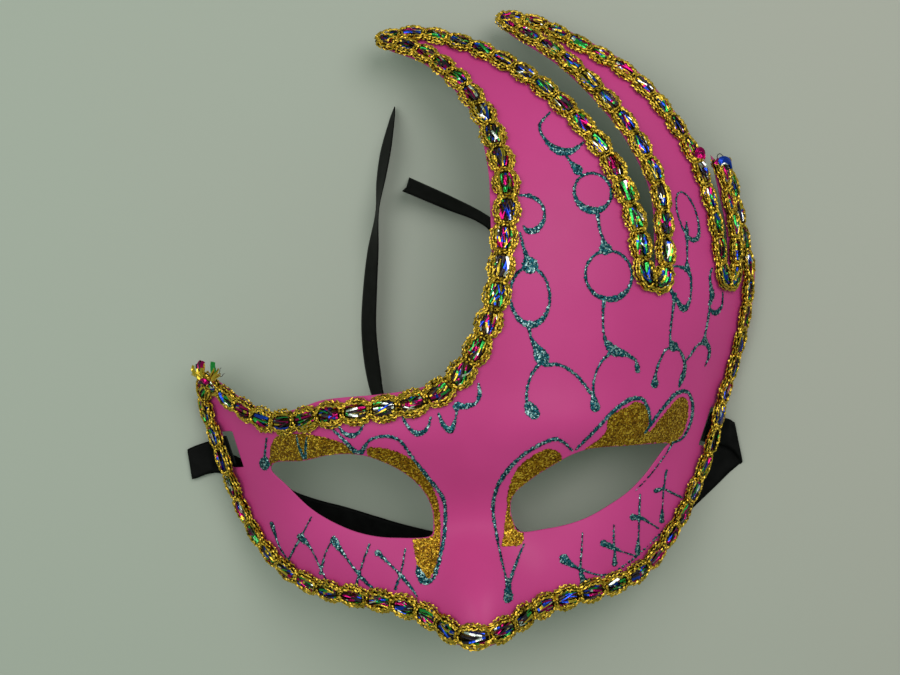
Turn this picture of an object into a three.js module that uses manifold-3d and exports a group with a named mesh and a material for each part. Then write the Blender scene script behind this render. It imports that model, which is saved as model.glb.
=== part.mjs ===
// Venetian half mask with a crescent cut-out and three flame horns, lying face up.
// Millimetres. +X is to the right of the picture, +Y runs up the face to the horns, +Z is the front of it.
// The origin is on the table, under the middle of the mask.

import * as THREE from 'three';
import Module from 'manifold-3d';
import { mergeVertices } from 'three/addons/utils/BufferGeometryUtils.js';

const wasm = await Module();
wasm.setup();

// Driving dimensions
const WALL = 0.9; // thickness of the moulded plastic
const NOSE_LINE_X = -4.7; // the face's middle line, off centre because the horns lean to one side
const SIDE_FULLNESS = 2.6; // exponent of the cross-section: 2 is a parabola, more is fuller at the temples
const GRID = 6; // spacing of the shell's facets
const FIELD = { x: 195, y: 205 }; // the sheet that the mask is trimmed from
const OUTLINE_STEP = 4; // spacing of the trimmed edge's points
const OPENING_STEP = 4; // spacing of the points round an eye
const SOCKET = { side: 36, y: -53, depth: 4.5, reachX: 26, reachY: 13 };
const BROW = { side: 30, y: -36, rise: 2.5, reachX: 26, reachY: 9 };
const NOSE_ROOT = { y: -66, depth: 8, reachX: 20, reachY: 16 };

const BRAID = { width: 7.2, thickness: 2.6, gap: 0.65, bead: 8.6, neck: 0.74, rowsPerBead: 2 };
const RIBBON = { width: 10, thickness: 0.4, steps: 58 };
const RIBBON_PASS = { lift: 0.9, reach: 11 }; // the braid rides up where a ribbon lies under it

// Sections across the face: y, half width on the table, height of the crown, rise and half width of nose
const SECTIONS = [
  { y: -100, halfWidth: 66.5, crown: 33.0, noseRise: 17.0, noseHalf: 15.0 },
  { y: -82, halfWidth: 72.0, crown: 36.5, noseRise: 12.5, noseHalf: 14.2 },
  { y: -62, halfWidth: 78.0, crown: 39.3, noseRise: 1.5, noseHalf: 12.5 },
  { y: -45, halfWidth: 83.0, crown: 41.2, noseRise: 0.0, noseHalf: 10.6 },
  { y: -27, halfWidth: 86.6, crown: 42.5, noseRise: 0.0, noseHalf: 9.0 },
  { y: -9, halfWidth: 92.8, crown: 42.9, noseRise: 0.0, noseHalf: 9.0 },
  { y: 9, halfWidth: 96.0, crown: 42.4, noseRise: 0.0, noseHalf: 9.0 },
  { y: 35, halfWidth: 97.0, crown: 37.5, noseRise: 0.0, noseHalf: 9.0 },
  { y: 65, halfWidth: 97.0, crown: 25.9, noseRise: 0.0, noseHalf: 9.0 },
  { y: 100, halfWidth: 95.0, crown: 4.5, noseRise: 0.0, noseHalf: 9.0 },
];

// The trimmed edge in four runs from tip to tip. Each point is x, y and how far in from it the braid runs.
const CRESCENT = [
  [-86.5, -15.0, 1.0], [-83.0, -16.8, 1.5], [-74.6, -22.7, 1.9], [-64.4, -27.3, 2.4], [-56.0, -26.3, 3.6],
  [-48.0, -24.0, 4.5], [-31.0, -23.0, 4.4], [-21.0, -22.1, 3.9], [-12.6, -19.7, 2.9], [-5.8, -13.3, 2.7],
  [0.9, 0.1, 2.9], [4.2, 13.0, 2.9], [4.7, 22.0, 3.9], [5.0, 31.5, 5.0], [5.2, 39.5, 4.6], [4.5, 48.0, 3.6],
  [3.1, 55.9, 2.8], [-3.6, 68.5, 2.6], [-12.1, 77.7, 2.4], [-17.4, 80.8, 2.4], [-22.5, 83.2, 1.9],
  [-27.0, 86.7, 1.0],
];
const LONG_HORN = [
  [-27.0, 86.7, 1.0], [-21.7, 90.2, 2.6], [-15.6, 91.4, 3.2], [-8.2, 90.2, 3.3], [5.5, 84.6, 3.3],
  [20.0, 74.5, 3.2], [33.3, 60.8, 3.1], [44.2, 44.6, 3.0], [50.3, 27.8, 3.0], [52.0, 17.9, 3.0],
  [52.3, 11.0, 3.0], [53.1, 8.2, 2.9], [54.0, 11.1, 2.8], [54.2, 18.0, 2.6], [54.6, 27.0, 2.5],
  [53.7, 35.2, 2.5], [47.7, 50.0, 2.5], [39.2, 62.9, 2.4], [28.6, 75.6, 2.4], [22.0, 81.3, 2.5],
  [15.4, 86.8, 2.0], [11.6, 92.6, 1.0],
];
const MIDDLE_HORN = [
  [11.6, 92.6, 1.0], [18.0, 94.2, 2.7], [24.4, 92.8, 3.3], [38.5, 84.1, 3.4], [53.1, 73.4, 3.4],
  [64.2, 60.2, 3.4], [72.6, 45.0, 3.3], [76.0, 32.8, 2.9], [77.7, 22.0, 2.5], [78.2, 11.0, 2.1],
  [79.0, 6.6, 1.9], [79.9, 11.0, 1.8], [80.0, 22.0, 2.0], [78.6, 31.0, 2.0], [77.4, 38.0, 2.3],
  [76.2, 45.2, 3.4],
];
const LONG_SIDE = [
  [76.2, 45.2, -3.0], [79.4, 42.0, 0.5], [83.4, 37.8, 2.0], [85.2, 32.5, 2.8], [87.3, 25.8, 3.2],
  [88.9, 17.8, 3.3], [91.0, 9.0, 4.5], [90.3, 1.2, 4.6], [88.6, -7.6, 4.6], [85.8, -17.6, 4.6],
  [82.4, -26.6, 4.4], [76.7, -35.8, 3.2], [73.4, -45.4, 3.0], [70.4, -54.3, 3.1], [66.5, -62.4, 3.3],
  [61.8, -69.9, 3.5], [56.5, -76.3, 3.6], [50.3, -82.4, 3.6], [42.6, -86.2, 3.3], [33.8, -88.0, 3.2],
  [25.0, -89.2, 3.0], [17.0, -90.5, 3.1], [10.0, -92.5, 3.2], [3.8, -95.0, 3.4], [-4.5, -96.7, 3.3],
  [-12.5, -96.1, 3.3], [-17.7, -93.1, 3.2], [-23.5, -90.6, 3.2], [-31.0, -88.6, 3.3], [-40.4, -87.0, 3.3],
  [-49.7, -85.6, 3.4], [-58.8, -82.9, 3.5], [-67.0, -78.1, 3.6], [-73.2, -72.0, 3.6], [-78.1, -64.1, 3.5],
  [-81.3, -55.2, 3.0], [-83.2, -46.2, 2.8], [-85.7, -38.0, 3.1], [-90.0, -30.7, 4.2], [-91.4, -25.2, 4.2],
  [-89.6, -19.8, 2.2], [-86.5, -15.0, 1.0],
];

// Eye openings and strap slots, as closed rings of x, y
const LEFT_EYE = [
  [-66.4, -45.0], [-65.0, -43.0], [-55.0, -42.2], [-46.7, -40.5], [-37.8, -40.6], [-31.0, -43.0],
  [-23.7, -47.7], [-19.0, -53.5], [-17.2, -59.0], [-17.2, -64.0], [-17.8, -66.2], [-28.4, -66.4],
  [-36.2, -65.4], [-44.0, -63.0], [-54.0, -57.6], [-62.0, -49.8],
];
const RIGHT_EYE = [
  [56.5, -44.0], [55.5, -44.6], [48.0, -53.0], [42.5, -57.5], [35.8, -61.0], [29.6, -63.6], [23.9, -65.1],
  [17.0, -66.1], [8.2, -66.4], [7.0, -64.0], [6.3, -60.0], [7.2, -55.6], [14.0, -50.1], [19.7, -46.9],
  [25.0, -44.3], [30.4, -42.9], [42.7, -43.0], [55.0, -43.6],
];
const LEFT_SLOT = [[-83.4, -33.4], [-79.2, -33.1], [-76.1, -44.6], [-80.2, -45.0]];
const RIGHT_SLOT = [[72.5, -34.2], [74.7, -35.0], [69.8, -46.5], [67.4, -45.7]];

// Ribbon routes: x, y, height of the lower long edge, direction and tilt of the ribbon's width in degrees,
// and how much wider than the ribbon a slanting fold is
const LEFT_RIBBON = [
  [-83.9, -40.4, 0.85, 106, 0, 1], [-82.5, -40.0, 1.3, 106, 0, 1], [-81.6, -39.9, 3.0, 106, 0, 1],
  [-81.0, -39.8, 5.0, 106, 0, 1], [-80.8, -39.7, 7.2, 106, 0, 1], [-80.95, -39.7, 8.35, 106, -2, 1],
  [-81.75, -39.85, 8.75, 106, -4, 1], [-82.9, -40.1, 7.5, 106, -5, 1], [-85.2, -40.7, 4.6, 106, -5, 1],
  [-87.1, -41.3, 2.1, 106, -4, 1], [-89.3, -41.9, 1.5, 105, 0, 1], [-92.1, -42.7, 1.5, 103, 0, 1],
  [-94.1, -43.4, 1.5, 99, 0, 1], [-95.2, -43.75, 1.25, 97, 0, 0.98], [-95.4, -43.95, 0.6, 95, 0, 0.94],
  [-94.2, -44.0, 0.1, 92, 0, 0.88], [-91.5, -44.0, 0.1, 86, 0, 0.74], [-85.0, -44.0, 0.1, 68, 0, 0.7],
  [-79.5, -47.0, 0.1, 60, 0, 0.78], [-75.3, -50.6, 0.1, 58, 0, 0.9], [-70.0, -54.7, 0.1, 60, 0, 1],
  [-64.5, -58.9, 0.1, 63, 0, 1], [-56.5, -62.3, 0.1, 68, 0, 1], [-47.8, -65.1, 0.1, 70, 0, 1],
  [-38.5, -68.5, 0.1, 70, 0, 1], [-29.6, -71.7, 0.1, 71, 0, 1], [-19.9, -74.7, 0.1, 73, 0, 1],
  [-12.0, -77.2, 0.1, 75, 0, 1], [-3.0, -79.5, 0.1, 80, 0, 1], [4.0, -80.0, 0.1, 95, 20, 1],
  [9.5, -78.0, 0.1, 125, 50, 1], [11.3, -74.5, 0.1, 175, 75, 1], [8.0, -70.5, 0.1, 215, 78, 1],
  [4.5, -65.0, 0.1, 205, 72, 1], [3.2, -60.5, 0.1, 197, 64, 1], [2.4, -55.5, 0.1, 190, 54, 1],
  [2.1, -50.0, 0.1, 184, 43, 1], [2.2, -44.0, 0.1, 180, 32, 1], [2.8, -37.0, 0.1, 177, 21, 1],
  [4.0, -28.5, 0.1, 174, 10, 1], [6.0, -12.4, 0.1, 170, 4, 1], [9.2, 3.6, 0.1, 172, 10, 1],
  [10.6, 15.8, 0.1, 183, 35, 1], [8.4, 24.5, 0.1, 208, 54, 1], [3.0, 29.6, 0.1, 234, 56, 1],
  [-7.0, 34.9, 0.1, 243, 55, 1], [-20.7, 41.6, 0.1, 244, 55, 1],
];
const RIGHT_RIBBON = [
  [74.0, -41.5, 0.5, 67, 0, 1], [72.8, -41.0, 1.1, 67, 0, 1], [71.9, -40.6, 2.5, 67, 0, 1],
  [71.7, -40.5, 4.6, 67, 0, 1], [71.6, -40.4, 6.4, 67, -6, 1], [71.65, -40.45, 7.5, 67, -9, 1],
  [72.3, -40.7, 7.85, 67, -11, 1], [73.4, -41.2, 6.6, 67, -12, 1], [75.0, -41.8, 4.7, 68, -13, 1],
  [76.8, -42.4, 2.5, 70, -8, 1], [79.0, -43.2, 1.5, 76, -4, 1.04], [80.6, -44.4, 1.7, 87, 0, 1.12],
  [81.7, -45.6, 1.6, 94, 0, 1.2], [82.3, -46.4, 1.2, 98, 0, 1.24], [82.3, -46.9, 0.6, 100, 0, 1.24],
  [81.6, -47.6, 0.1, 104, 0, 1.24], [80.2, -49.3, 0.1, 114, 0, 1.12], [77.0, -53.4, 0.1, 131, 0, 1],
  [73.3, -57.9, 0.1, 135, 0, 1], [66.6, -64.2, 0.1, 128, 0, 1], [55.6, -72.0, 0.1, 123, 0, 1],
  [42.2, -80.0, 0.1, 118, 4, 1], [36.0, -82.8, 0.1, 113, 15, 1], [30.0, -85.0, 0.1, 108, 28, 1],
  [24.0, -86.8, 0.1, 103, 41, 1], [18.0, -88.0, 0.1, 98, 53, 1], [12.5, -88.6, 0.1, 92, 61, 1],
  [7.0, -88.8, 0.1, 86, 65, 1], [1.5, -88.2, 0.2, 77, 64, 1], [-3.0, -86.8, 0.4, 66, 57, 1],
  [-7.2, -84.6, 0.8, 54, 43, 1], [-10.5, -81.8, 1.2, 42, 29, 1], [-13.0, -78.7, 1.3, 31, 20, 1],
  [-13.7, -75.0, 1.3, 22, 19, 1], [-13.4, -71.0, 1.0, 17, 29, 1], [-13.2, -67.0, 0.5, 16, 42, 1],
  [-13.6, -62.5, 0.3, 20, 53, 1], [-14.6, -57.7, 0.1, 25, 60, 1], [-19.6, -47.4, 0.1, 26, 60, 1],
  [-26.2, -36.8, 0.1, 23, 62, 1], [-32.6, -26.3, 0.1, 15, 64, 1], [-34.3, -16.5, 0.1, 6, 58, 1],
  [-34.9, -3.6, 0.1, -1, 58, 1], [-33.8, 9.2, 0.1, -6, 60, 1], [-32.1, 21.9, 0.1, -8, 66, 1],
  [-30.1, 34.0, 0.1, -10, 80, 1], [-28.3, 44.2, 0.1, -12, 70, 1], [-26.2, 53.8, 0.1, -14, 66, 0.95],
  [-23.6, 64.4, 0.1, -15, 66, 0.45],
];

// Interpolates one measure of the sections smoothly along the face.
function alongFace(y, measure) {
  const clamped = THREE.MathUtils.clamp(y, SECTIONS[0].y, SECTIONS.at(-1).y);
  let k = 0;
  while (k < SECTIONS.length - 2 && clamped > SECTIONS[k + 1].y) k += 1;
  const slopeAt = (i) => {
    const before = SECTIONS[Math.max(i - 1, 0)];
    const after = SECTIONS[Math.min(i + 1, SECTIONS.length - 1)];
    return (after[measure] - before[measure]) / (after.y - before.y);
  };
  const [start, end] = [SECTIONS[k], SECTIONS[k + 1]];
  const span = end.y - start.y;
  const t = (clamped - start.y) / span;
  const rise = t * t * (3 - 2 * t);
  const ease = span * t * (1 - t);
  return THREE.MathUtils.lerp(start[measure], end[measure], rise)
    + ease * ((1 - t) * slopeAt(k) - t * slopeAt(k + 1));
}

function bump(u, v) {
  return Math.exp(-u * u - v * v);
}

// Height of the mask's front face above the table.
function frontHeight(x, y) {
  const side = Math.abs(x - NOSE_LINE_X);
  const dome = alongFace(y, 'crown') * (1 - (side / alongFace(y, 'halfWidth')) ** SIDE_FULLNESS);
  const nose = alongFace(y, 'noseRise') * bump(side / alongFace(y, 'noseHalf'), 0);
  const socket = SOCKET.depth * bump((side - SOCKET.side) / SOCKET.reachX, (y - SOCKET.y) / SOCKET.reachY);
  const brow = BROW.rise * bump((side - BROW.side) / BROW.reachX, (y - BROW.y) / BROW.reachY);
  const root = NOSE_ROOT.depth * bump(side / NOSE_ROOT.reachX, (y - NOSE_ROOT.y) / NOSE_ROOT.reachY);
  return dome + nose - socket + brow - root;
}

function frontNormal(x, y) {
  const reach = 0.5;
  const slopeX = (frontHeight(x + reach, y) - frontHeight(x - reach, y)) / (2 * reach);
  const slopeY = (frontHeight(x, y + reach) - frontHeight(x, y - reach)) / (2 * reach);
  return new THREE.Vector3(-slopeX, -slopeY, 1).normalize();
}

function toSolid(geometry) {
  geometry.deleteAttribute('normal');
  geometry.deleteAttribute('uv');
  const merged = mergeVertices(geometry, 1e-4);
  return new wasm.Manifold(new wasm.Mesh({
    numProp: 3,
    vertProperties: new Float32Array(merged.attributes.position.array),
    triVerts: new Uint32Array(merged.index.array),
  }));
}

function toGeometry(solid) {
  const mesh = solid.getMesh();
  const geometry = new THREE.BufferGeometry();
  geometry.setAttribute('position', new THREE.BufferAttribute(new Float32Array(mesh.vertProperties), 3));
  geometry.setIndex(new THREE.BufferAttribute(new Uint32Array(mesh.triVerts), 1));
  geometry.computeVertexNormals();
  return geometry;
}

function smoothCurve(points, closed = false) {
  return new THREE.CatmullRomCurve3(points.map((p) => new THREE.Vector3(...p)), closed, 'centripetal');
}

function spacedPoints(curve, step) {
  return curve.getSpacedPoints(Math.round(curve.getLength() / step));
}

// The moulded sheet: a block of thin cells whose top follows the face, with its underside one wall below.
function mouldedSheet() {
  const cellsX = Math.round(FIELD.x / GRID);
  const cellsY = Math.round(FIELD.y / GRID);
  const sheet = new THREE.BoxGeometry(FIELD.x, FIELD.y, 2, cellsX, cellsY, 1);
  const position = sheet.attributes.position;
  for (let i = 0; i < position.count; i += 1) {
    const [x, y] = [position.getX(i), position.getY(i)];
    const wallUpright = position.getZ(i) > 0 ? 0 : WALL / frontNormal(x, y).z;
    position.setZ(i, frontHeight(x, y) - wallUpright);
  }
  return toSolid(sheet);
}

function ring(points, step) {
  const curve = smoothCurve(points.map(([x, y]) => [x, y, 0]), true);
  return new THREE.Path(spacedPoints(curve, step).slice(0, -1).map((p) => new THREE.Vector2(p.x, p.y)));
}

function straightRing(points) {
  return new THREE.Path(points.map(([x, y]) => new THREE.Vector2(x, y)));
}

// The upright block that trims the sheet to its outline, its openings and the plane that the mask lies on.
function trimmingBlock() {
  const edge = [];
  for (const run of [CRESCENT, LONG_HORN, MIDDLE_HORN, LONG_SIDE]) {
    const points = spacedPoints(smoothCurve(run.map(([x, y]) => [x, y, 0])), OUTLINE_STEP);
    edge.push(...points.slice(0, -1).map((p) => new THREE.Vector2(p.x, p.y)));
  }
  const outline = new THREE.Shape(edge.reverse());
  outline.holes.push(ring(LEFT_EYE, OPENING_STEP), ring(RIGHT_EYE, OPENING_STEP));
  outline.holes.push(straightRing(LEFT_SLOT), straightRing(RIGHT_SLOT));
  return toSolid(new THREE.ExtrudeGeometry(outline, { depth: 90, bevelEnabled: false }));
}

// A run of the braid, on the front face, a set distance in from the trimmed edge.
class BraidRun extends THREE.Curve {
  constructor(run) {
    super();
    this.edge = smoothCurve(run);
    this.arcLengthDivisions = 600;
  }

  getPoint(t, target = new THREE.Vector3()) {
    const at = this.edge.getPoint(t);
    const along = this.edge.getTangent(t).setZ(0).normalize();
    const x = at.x + along.y * at.z;
    const y = at.y - along.x * at.z;
    const clearance = BRAID.gap + ribbonLift(x, y);
    return target.set(x, y, frontHeight(x, y)).addScaledVector(frontNormal(x, y), clearance);
  }

  // The section's sideways and outward directions, longer at a bead's middle and shorter at its neck.
  computeFrenetFrames(steps) {
    const frames = { tangents: [], normals: [], binormals: [] };
    for (let i = 0; i <= steps; i += 1) {
      const at = this.getPointAt(i / steps);
      const tangent = this.getTangentAt(i / steps);
      const outward = frontNormal(at.x, at.y);
      const sideways = new THREE.Vector3().crossVectors(outward, tangent).normalize();
      const swell = i % BRAID.rowsPerBead === 0 ? BRAID.neck : 1;
      frames.tangents.push(tangent);
      frames.normals.push(sideways.multiplyScalar(swell));
      frames.binormals.push(outward.multiplyScalar(Math.sqrt(swell)));
    }
    return frames;
  }
}

function ribbonLift(x, y) {
  const passes = [LEFT_RIBBON[7], RIGHT_RIBBON[7]];
  return passes.reduce((lift, [px, py]) => (
    lift + RIBBON_PASS.lift * bump((x - px) / RIBBON_PASS.reach, (y - py) / RIBBON_PASS.reach)
  ), 0);
}

function braidRunSolid(run) {
  const path = new BraidRun(run);
  const [w, t] = [BRAID.width / 2, BRAID.thickness];
  const section = new THREE.Shape([
    new THREE.Vector2(-0.75 * w, 0), new THREE.Vector2(0.75 * w, 0), new THREE.Vector2(w, 0.42 * t),
    new THREE.Vector2(0.5 * w, t), new THREE.Vector2(-0.5 * w, t), new THREE.Vector2(-w, 0.42 * t),
  ]);
  const steps = Math.round(path.getLength() / BRAID.bead) * BRAID.rowsPerBead;
  return toSolid(new THREE.ExtrudeGeometry(section, { steps, extrudePath: path }));
}

// The middle line of a flat ribbon whose width is turned along the way.
class RibbonRoute extends THREE.Curve {
  constructor(rows) {
    super();
    this.place = smoothCurve(rows.map((row) => row.slice(0, 3)));
    this.turn = smoothCurve(rows.map((row) => row.slice(3)));
    this.turn.curveType = 'catmullrom'; // the angles follow the same parameter as the places
  }

  // The direction across the ribbon, as long as the ribbon's widening.
  acrossAt(t) {
    const { x: heading, y: tilt, z: widening } = this.turn.getPoint(t);
    const [h, v] = [THREE.MathUtils.degToRad(heading), THREE.MathUtils.degToRad(tilt)];
    const across = new THREE.Vector3(Math.cos(h) * Math.cos(v), Math.sin(h) * Math.cos(v), Math.sin(v));
    return across.multiplyScalar(widening);
  }

  getPoint(t, target = new THREE.Vector3()) {
    const lowerEdge = Math.abs(this.acrossAt(t).z) * RIBBON.width / 2 + RIBBON.thickness / 2;
    target.copy(this.place.getPoint(t));
    return target.setZ(target.z + lowerEdge);
  }

  getSpacedPoints(divisions) {
    return this.getPoints(divisions);
  }

  computeFrenetFrames(steps) {
    const frames = { tangents: [], normals: [], binormals: [] };
    for (let i = 0; i <= steps; i += 1) {
      const tangent = this.getTangent(i / steps);
      const across = this.acrossAt(i / steps);
      frames.tangents.push(tangent);
      frames.normals.push(across);
      frames.binormals.push(new THREE.Vector3().crossVectors(tangent, across).normalize());
    }
    return frames;
  }
}

function ribbonGeometry(rows) {
  const [w, t] = [RIBBON.width / 2, RIBBON.thickness / 2];
  const section = new THREE.Shape([
    new THREE.Vector2(-w, -t), new THREE.Vector2(-w / 3, -t), new THREE.Vector2(w / 3, -t),
    new THREE.Vector2(w, -t), new THREE.Vector2(w, t), new THREE.Vector2(w / 3, t),
    new THREE.Vector2(-w / 3, t), new THREE.Vector2(-w, t),
  ]);
  return new THREE.ExtrudeGeometry(section, { steps: RIBBON.steps, extrudePath: new RibbonRoute(rows) });
}

function piece(name, geometry, color, roughness, metalness) {
  const mesh = new THREE.Mesh(geometry, new THREE.MeshStandardMaterial({ color, roughness, metalness }));
  mesh.name = name;
  return mesh;
}

const shell = mouldedSheet().intersect(trimmingBlock());
const braid = [CRESCENT, LONG_HORN, MIDDLE_HORN, LONG_SIDE]
  .map(braidRunSolid)
  .reduce((whole, run) => whole.add(run));

const mask = new THREE.Group();
mask.add(piece('mask_shell', toGeometry(shell), 0xc2428a, 0.42, 0.0));
mask.add(piece('edge_braid', toGeometry(braid), 0xb3922b, 0.4, 0.6));
mask.add(piece('ribbon_left', ribbonGeometry(LEFT_RIBBON), 0x121014, 0.6, 0.0));
mask.add(piece('ribbon_right', ribbonGeometry(RIGHT_RIBBON), 0x121014, 0.6, 0.0));

export default mask;
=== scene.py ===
"""Venetian half mask, lying face up on a pale table and seen from straight above.

Lists and sizes are in millimetres, in the same frame as the solids; MM turns them into metres.
"""
import math

import bpy
import numpy as np
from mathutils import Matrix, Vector
from mathutils.geometry import delaunay_2d_cdt


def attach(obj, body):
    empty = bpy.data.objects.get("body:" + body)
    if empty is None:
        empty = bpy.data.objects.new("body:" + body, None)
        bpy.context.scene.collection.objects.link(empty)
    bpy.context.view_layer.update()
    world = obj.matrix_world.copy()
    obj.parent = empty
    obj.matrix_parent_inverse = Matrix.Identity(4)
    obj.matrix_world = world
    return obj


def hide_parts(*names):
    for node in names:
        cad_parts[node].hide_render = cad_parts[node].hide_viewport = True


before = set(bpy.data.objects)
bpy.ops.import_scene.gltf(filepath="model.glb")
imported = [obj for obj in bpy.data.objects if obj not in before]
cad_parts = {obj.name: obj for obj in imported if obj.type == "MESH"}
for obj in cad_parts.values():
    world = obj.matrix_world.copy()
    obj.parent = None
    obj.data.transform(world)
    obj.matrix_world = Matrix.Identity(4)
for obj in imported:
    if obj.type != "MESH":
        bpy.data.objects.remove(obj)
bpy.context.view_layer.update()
scene = bpy.context.scene

MM = 0.001
random = np.random.default_rng(7)


def add_object(name, data):
    item = bpy.data.objects.new(name, data)
    scene.collection.objects.link(item)
    return item


# Camera: straight above the mask, turned a little so that the eyes run uphill to the right
CAMERA_AT = (-9.0, -7.5, 420.0)
CAMERA_TURN = -3.2
HALF_VIEW = 146.13  # half the width of the table that the picture takes in


def make_camera():
    data = bpy.data.cameras.new("camera")
    data.sensor_width = 36.0
    data.lens = data.sensor_width / 2 * CAMERA_AT[2] / HALF_VIEW
    data.clip_start, data.clip_end = 0.01, 10.0
    camera = add_object("camera", data)
    camera.location = Vector(CAMERA_AT) * MM
    camera.rotation_euler = (0.0, 0.0, math.radians(CAMERA_TURN))
    scene.camera = camera


make_camera()
scene.view_settings.view_transform = "Standard"


# Curves

def spline(points, t, closed=False, centripetal=True):
    """Points on a Catmull-Rom curve through points; t counts from point to point."""
    p = np.asarray(points, float)
    if closed:
        p = np.vstack([p[-1:], p, p[:2]])
    else:
        p = np.vstack([2 * p[0] - p[1], p, 2 * p[-1] - p[-2]])
    last = len(p) - 4
    k = np.clip(np.floor(t).astype(int), 0, last)
    w = (t - k)[:, None]
    a, b, c, d = p[k], p[k + 1], p[k + 2], p[k + 3]
    if centripetal:
        pairs = ((b, a), (c, b), (d, c))
        ab, bc, cd = (np.linalg.norm(q - r, axis=1, keepdims=True) ** 0.5 for q, r in pairs)
        start = ((b - a) / ab - (c - a) / (ab + bc) + (c - b) / bc) * bc
        end = ((c - b) / bc - (d - b) / (bc + cd) + (d - c) / cd) * bc
    else:
        start, end = (c - a) / 2, (d - b) / 2
    return (
        b + start * w
        + (-3 * b + 3 * c - 2 * start - end) * w ** 2
        + (2 * b - 2 * c + start + end) * w ** 3
    )


def arc_lengths(points):
    steps = np.linalg.norm(np.diff(points, axis=0), axis=1)
    return np.concatenate([[0.0], np.cumsum(steps)])


def evenly(points, step):
    """The same polyline with its points a set distance apart."""
    along = arc_lengths(points)
    count = max(2, round(along[-1] / step)) + 1
    at = np.linspace(0.0, along[-1], count)
    return np.stack([np.interp(at, along, points[:, i]) for i in range(points.shape[1])], axis=1)


def dense(points, closed=False, per_span=24):
    spans = len(points) if closed else len(points) - 1
    return spline(points, np.linspace(0.0, spans, spans * per_span + 1), closed)


def unit(vectors):
    return vectors / np.linalg.norm(vectors, axis=-1, keepdims=True)


# Objects

def make_piece(name, vertices, faces, materials, replaces=(), smooth=True, face_material=None):
    mesh = bpy.data.meshes.new(name)
    mesh.from_pydata((np.asarray(vertices) * MM).tolist(), [], [list(map(int, f)) for f in faces])
    for material in materials:
        mesh.materials.append(material)
    if face_material is not None:
        mesh.polygons.foreach_set("material_index", np.asarray(face_material, np.int32))
    mesh.polygons.foreach_set("use_smooth", np.full(len(mesh.polygons), smooth))
    mesh.update()
    piece = add_object(name, mesh)
    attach(piece, "root")
    if replaces:
        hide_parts(*replaces)
    return piece


def tube_faces(rings, sides):
    """Quads round a tube whose vertices are stored ring after ring, and its two ends."""
    ring = np.arange(rings - 1)[:, None] * sides
    side = np.arange(sides)[None, :]
    after = (side + 1) % sides
    quads = np.stack([ring + side, ring + after, ring + sides + after, ring + sides + side], axis=-1)
    return quads.reshape(-1, 4).tolist() + [
        list(range(sides - 1, -1, -1)), [(rings - 1) * sides + i for i in range(sides)],
    ]


# Node materials

class Nodes:
    """A small helper that builds one procedural material."""

    def __init__(self, name, color, roughness, metallic=0.0):
        self.material = bpy.data.materials.new(name)
        self.material.use_nodes = True
        self.tree = self.material.node_tree
        self.shader = self.tree.nodes["Principled BSDF"]
        self.set({"Base Color": (*color, 1.0), "Roughness": roughness, "Metallic": metallic})
        self.place = self.tree.nodes.new("ShaderNodeTexCoord").outputs["Object"]

    def set(self, values):
        for key, value in values.items():
            self.shader.inputs[key].default_value = value

    def add(self, kind, values=None, **settings):
        node = self.tree.nodes.new("ShaderNode" + kind)
        for key, value in settings.items():
            setattr(node, key, value)
        for key, value in (values or {}).items():
            if isinstance(value, bpy.types.NodeSocket):
                self.tree.links.new(value, node.inputs[key])
            else:
                node.inputs[key].default_value = value
        return node

    def link(self, output, key):
        self.tree.links.new(output, self.shader.inputs[key])

    def noise(self, scale, detail=2.0):
        """Noise with features about 1/scale metres across."""
        return self.add("TexNoise", {"Vector": self.place, "Scale": scale, "Detail": detail}).outputs["Fac"]

    def cells(self, scale):
        """A random colour for each cell, about 1/scale metres across."""
        return self.add("TexVoronoi", {"Vector": self.place, "Scale": scale}).outputs["Color"]

    def ramp(self, value, stops):
        node = self.add("ValToRGB", {"Fac": value})
        elements = node.color_ramp.elements
        while len(elements) < len(stops):
            elements.new(0.5)
        for element, (at, color) in zip(elements, stops):
            element.position = at
            element.color = (*color, 1.0)
        return node.outputs["Color"]

    def band(self, value, low, high, to_low, to_high):
        values = {"Value": value, "From Min": low, "From Max": high, "To Min": to_low, "To Max": to_high}
        return self.add("MapRange", values).outputs["Result"]

    def mottle(self, scale, detail, stops):
        self.link(self.ramp(self.noise(scale, detail), stops), "Base Color")

    def uneven_gloss(self, scale, detail, low, high):
        self.link(self.band(self.noise(scale, detail), 0.3, 0.7, low, high), "Roughness")

    def relief(self, height, strength, distance):
        node = self.add("Bump", {"Height": height, "Strength": strength, "Distance": distance})
        self.link(node.outputs["Normal"], "Normal")

    def flakes(self, random_color, spread):
        """A normal turned at random, cell by cell, as glitter flakes lie."""
        centred = self.add("VectorMath", {0: random_color, 1: (0.5, 0.5, 0.5)}, operation="SUBTRACT")
        turned = self.add("VectorMath", {0: centred.outputs[0], 3: spread}, operation="SCALE")
        normal = self.add("NewGeometry").outputs["Normal"]
        total = self.add("VectorMath", {0: normal, 1: turned.outputs[0]}, operation="ADD")
        return self.add("VectorMath", {0: total.outputs[0]}, operation="NORMALIZE").outputs[0]


def plastic_material():
    n = Nodes("pink_plastic", (0.58, 0.055, 0.245), 0.45)
    n.set({"IOR": 1.46, "Specular IOR Level": 0.18})
    n.mottle(28.0, 3.0, [(0.3, (0.535, 0.050, 0.224)), (0.7, (0.595, 0.058, 0.255))])
    n.uneven_gloss(60.0, 4.0, 0.36, 0.46)
    n.relief(n.noise(90.0, 3.0), 0.2, 0.0003)
    return n.material


def bare_material():
    """The inner side of the plastic, which isn't painted."""
    n = Nodes("bare_plastic", (0.33, 0.42, 0.35), 0.6)
    n.set({"Specular IOR Level": 0.2})
    n.mottle(40.0, 3.0, [(0.3, (0.31, 0.40, 0.33)), (0.7, (0.35, 0.44, 0.37))])
    return n.material


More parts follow.
